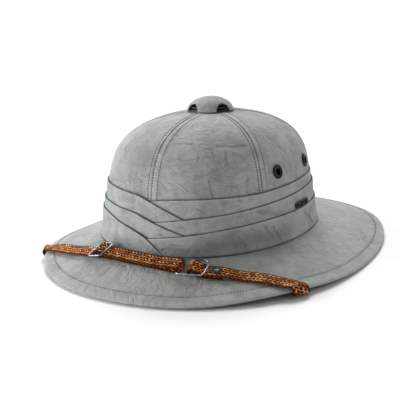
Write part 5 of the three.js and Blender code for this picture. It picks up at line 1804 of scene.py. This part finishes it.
def wire_ring(place, name, node, material, near_corner, far_corner):
    """A bent wire frame with a straight middle bar. Its corners at either end have their own radius."""
    outline = []
    for u, w, turn in ((1, 1, 0), (-1, 1, 90), (-1, -1, 180), (1, -1, 270)):
        corner = far_corner if u > 0 else near_corner
        for a in np.radians(turn + np.linspace(0, 90, 13)):
            outline.append((u * (place.half_run - corner) + corner * math.cos(a),
                            w * (place.half_width - corner) + corner * math.sin(a)))
    outline = np.array(outline)
    closed = np.concatenate([outline, outline[:1]])
    fine = even_steps(closed, WIRE_STEP)[:-1]
    line = place.centre + fine[:, :1] * place.along + fine[:, 1:] * place.side
    heading = unit(np.roll(line, -1, 0) - np.roll(line, 1, 0))
    outward = np.cross(heading, place.up)
    a = np.linspace(0, 2 * np.pi, 16, endpoint=False)[None, :, None]
    ring = line[:, None] + SHOWN_WIRE_RADIUS * (np.cos(a) * outward[:, None] + np.sin(a) * place.up)
    reach = np.linspace(-place.half_width, place.half_width, 24)[:, None, None]
    around = np.cos(a) * place.along + np.sin(a) * place.up
    bar = place.centre + reach * place.side + SHOWN_WIRE_RADIUS * around
    size = a.shape[1]
    ring_points = ring.reshape(-1, 3)
    bar_points = bar.reshape(-1, 3)
    ring_faces = outward_faces(ring_points, grid_faces(len(line), size, True, True))
    bar_grid = grid_faces(len(bar), size, False, True)
    bar_faces = outward_faces(bar_points - place.centre, bar_grid, end_caps(len(bar), size))
    moved = [[n + len(ring_points) for n in face] for face in bar_faces]
    obj = mesh_piece(name, np.concatenate([ring_points, bar_points]), ring_faces + moved)
    finish_piece(obj, node, material)


def make_rivet():
    p, _, n, _ = guide.at(np.array(RIVET_S))
    foot = RIVETED - STRAP_THICKNESS / 2 - RIVET_PLAY
    head = RIVETED_HIGH + STRAP_THICKNESS / 2 + RIVET_PLAY
    dome = [(RIVET_HEAD_RADIUS * math.cos(a), head + 0.25 + (RIVET_HEAD_HEIGHT - 0.25) * math.sin(a))
            for a in np.linspace(0, math.pi / 2 - 0.03, 12)]
    base = foot - RIVET_FOOT_HEIGHT
    corners = [(LATHE_TIP, base), (RIVET_FOOT_RADIUS - 0.3, base),
               (RIVET_FOOT_RADIUS, foot - RIVET_FOOT_HEIGHT / 2), (RIVET_FOOT_RADIUS, foot),
               (RIVET_SHANK_RADIUS, foot), (RIVET_SHANK_RADIUS, head), (RIVET_HEAD_RADIUS, head),
               *dome, (LATHE_TIP, head + RIVET_HEAD_HEIGHT)]
    rivet = lathe_piece("rivet_head", corners, 48, p, n)
    finish_piece(rivet, "strap_rivet", blued_steel)


def make_anchor(name, node, side):
    rim_end = STRAP_RIM_LEFT[1] if side < 0 else STRAP_RIM_RIGHT[1]
    a = math.radians(rim_end + side * STRAP_ANCHOR_TURN)
    h = ANCHOR_HEIGHT / CROWN_HEIGHT
    strap_face = CROWN_WALL + GAP + COLLAR_WALL + STRAP_WALL_GAP + STRAP_THICKNESS
    back = -strap_face - GAP
    dome = [(ANCHOR_HEAD_RADIUS * math.sin(t), back - 0.3 - (ANCHOR_HEAD_HEIGHT - 0.3) * math.cos(t))
            for t in np.linspace(0.03, math.pi / 2, 10)]
    corners = [(LATHE_TIP, back - ANCHOR_HEAD_HEIGHT), *dome, (ANCHOR_HEAD_RADIUS, back),
               (ANCHOR_SHANK_RADIUS, back), (ANCHOR_SHANK_RADIUS, -0.2), (LATHE_TIP, -0.2)]
    anchor = lathe_piece(name, corners, 40, crown_point(a, h), crown_normal(a, h))
    finish_piece(anchor, node, blued_steel)


# Stage
CAMERA_AZIMUTH = math.radians(31.05)
CAMERA_ELEVATION = math.radians(13.97)
CAMERA_ROLL = math.radians(-1.85)
CAMERA_DISTANCE = 734
CAMERA_LENS = 70.7
CAMERA_AIM = (-14.23, -15.68, 43.9)
FLOOR_REACH = 60.0
SKY_STRENGTH = 0.3
HORIZON_STRENGTH = 1.2
HORIZON_LOW = 0.05
HORIZON_HIGH = 0.16

# Suns, each as (name, degrees round, degrees up, degrees wide, strength, colour)
SUNS = [
    ("left_light", -60, 9, 46, 4.2, (0.97, 1.0, 1.0)),
    ("top_light", 208, 47, 42, 3.3, (1.0, 0.99, 0.97)),
    ("right_light", 135, 12, 50, 0.4, (1.0, 1.0, 1.0)),
]


def make_camera():
    back = Vector((math.sin(CAMERA_AZIMUTH) * math.cos(CAMERA_ELEVATION),
                   -math.cos(CAMERA_AZIMUTH) * math.cos(CAMERA_ELEVATION), math.sin(CAMERA_ELEVATION)))
    level = Vector((math.cos(CAMERA_AZIMUTH), math.sin(CAMERA_AZIMUTH), 0))
    up = back.cross(level)
    right = level * math.cos(CAMERA_ROLL) + up * math.sin(CAMERA_ROLL)
    top = up * math.cos(CAMERA_ROLL) - level * math.sin(CAMERA_ROLL)
    aim_across, aim_forward, aim_height = CAMERA_AIM
    target = level * aim_across + Vector((0, aim_forward, aim_height))
    data = bpy.data.cameras.new("camera")
    data.lens = CAMERA_LENS
    data.sensor_width = 36
    camera = bpy.data.objects.new("camera", data)
    turn = Matrix((right, top, back)).transposed().to_4x4()
    camera.matrix_world = Matrix.Translation((target + back * CAMERA_DISTANCE) * MM) @ turn
    bpy.context.scene.collection.objects.link(camera)
    bpy.context.scene.camera = camera


def make_floor():
    mesh = bpy.data.meshes.new("floor")
    reach = FLOOR_REACH
    corners = [(-reach, -reach, 0), (reach, -reach, 0), (reach, reach, 0), (-reach, reach, 0)]
    mesh.from_pydata(corners, [], [(0, 1, 2, 3)])
    floor = bpy.data.objects.new("floor", mesh)
    bpy.context.scene.collection.objects.link(floor)
    floor.data.materials.append(floor_material())


def sun_light(name, azimuth, elevation, spread, strength, color):
    """A wide soft light from far away, so that the floor is lit evenly."""
    data = bpy.data.lights.new(name, "SUN")
    data.energy = strength
    data.color = color
    data.angle = math.radians(spread)
    light = bpy.data.objects.new(name, data)
    a = math.radians(azimuth)
    e = math.radians(elevation)
    back = Vector((math.sin(a) * math.cos(e), -math.cos(a) * math.cos(e), math.sin(e)))
    light.rotation_mode = "QUATERNION"
    light.rotation_quaternion = (-back).to_track_quat("-Z", "Y")
    bpy.context.scene.collection.objects.link(light)


def make_world():
    """Dim sky with a bright horizon, which is the white of the studio behind the hat."""
    world = bpy.data.worlds.new("studio")
    world.use_nodes = True
    g = Graph(world.node_tree)
    background = world.node_tree.nodes["Background"]
    background.inputs["Color"].default_value = (1, 1, 1, 1)
    direction = g.node("ShaderNodeTexCoord").outputs["Generated"]
    height = g.node("ShaderNodeSeparateXYZ", Vector=direction).outputs["Z"]
    strength = g.range(height, HORIZON_LOW, HORIZON_HIGH, HORIZON_STRENGTH, SKY_STRENGTH)
    g.feed(background.inputs["Strength"], strength)
    bpy.context.scene.world = world


make_camera()
make_world()
make_floor()
for sun in SUNS:
    sun_light(*sun)
bpy.context.scene.view_settings.view_transform = "Standard"

crown = make_crown()
holes = [(p, n, EYELET_TUBE_RADIUS + GAP, 8) for p, n in eyelet_places().values()]
cut_holes(crown, holes)
make_crown_stitches()
make_brim()
make_binding()
make_binding_stitches()
for number in range(len(PLEAT_NAMES)):
    make_pleat(number)
make_cap()
make_core()
for eyelet_name, (eyelet_place, eyelet_direction) in eyelet_places().items():
    make_eyelet(eyelet_name, eyelet_place, eyelet_direction)
make_tab()
make_straps()
wire_ring(slide, "slide_wire", "slide_buckle", polished_steel, FRAME_CORNER_RADIUS, SLIDE_FAR_CORNER)
wire_ring(buckle, "buckle_wire", "ring_buckle", polished_steel, FRAME_CORNER_RADIUS, BUCKLE_FAR_CORNER)
make_rivet()
make_anchor("anchor_left", "strap_anchor_left", 1)
make_anchor("anchor_right", "strap_anchor_right", -1)
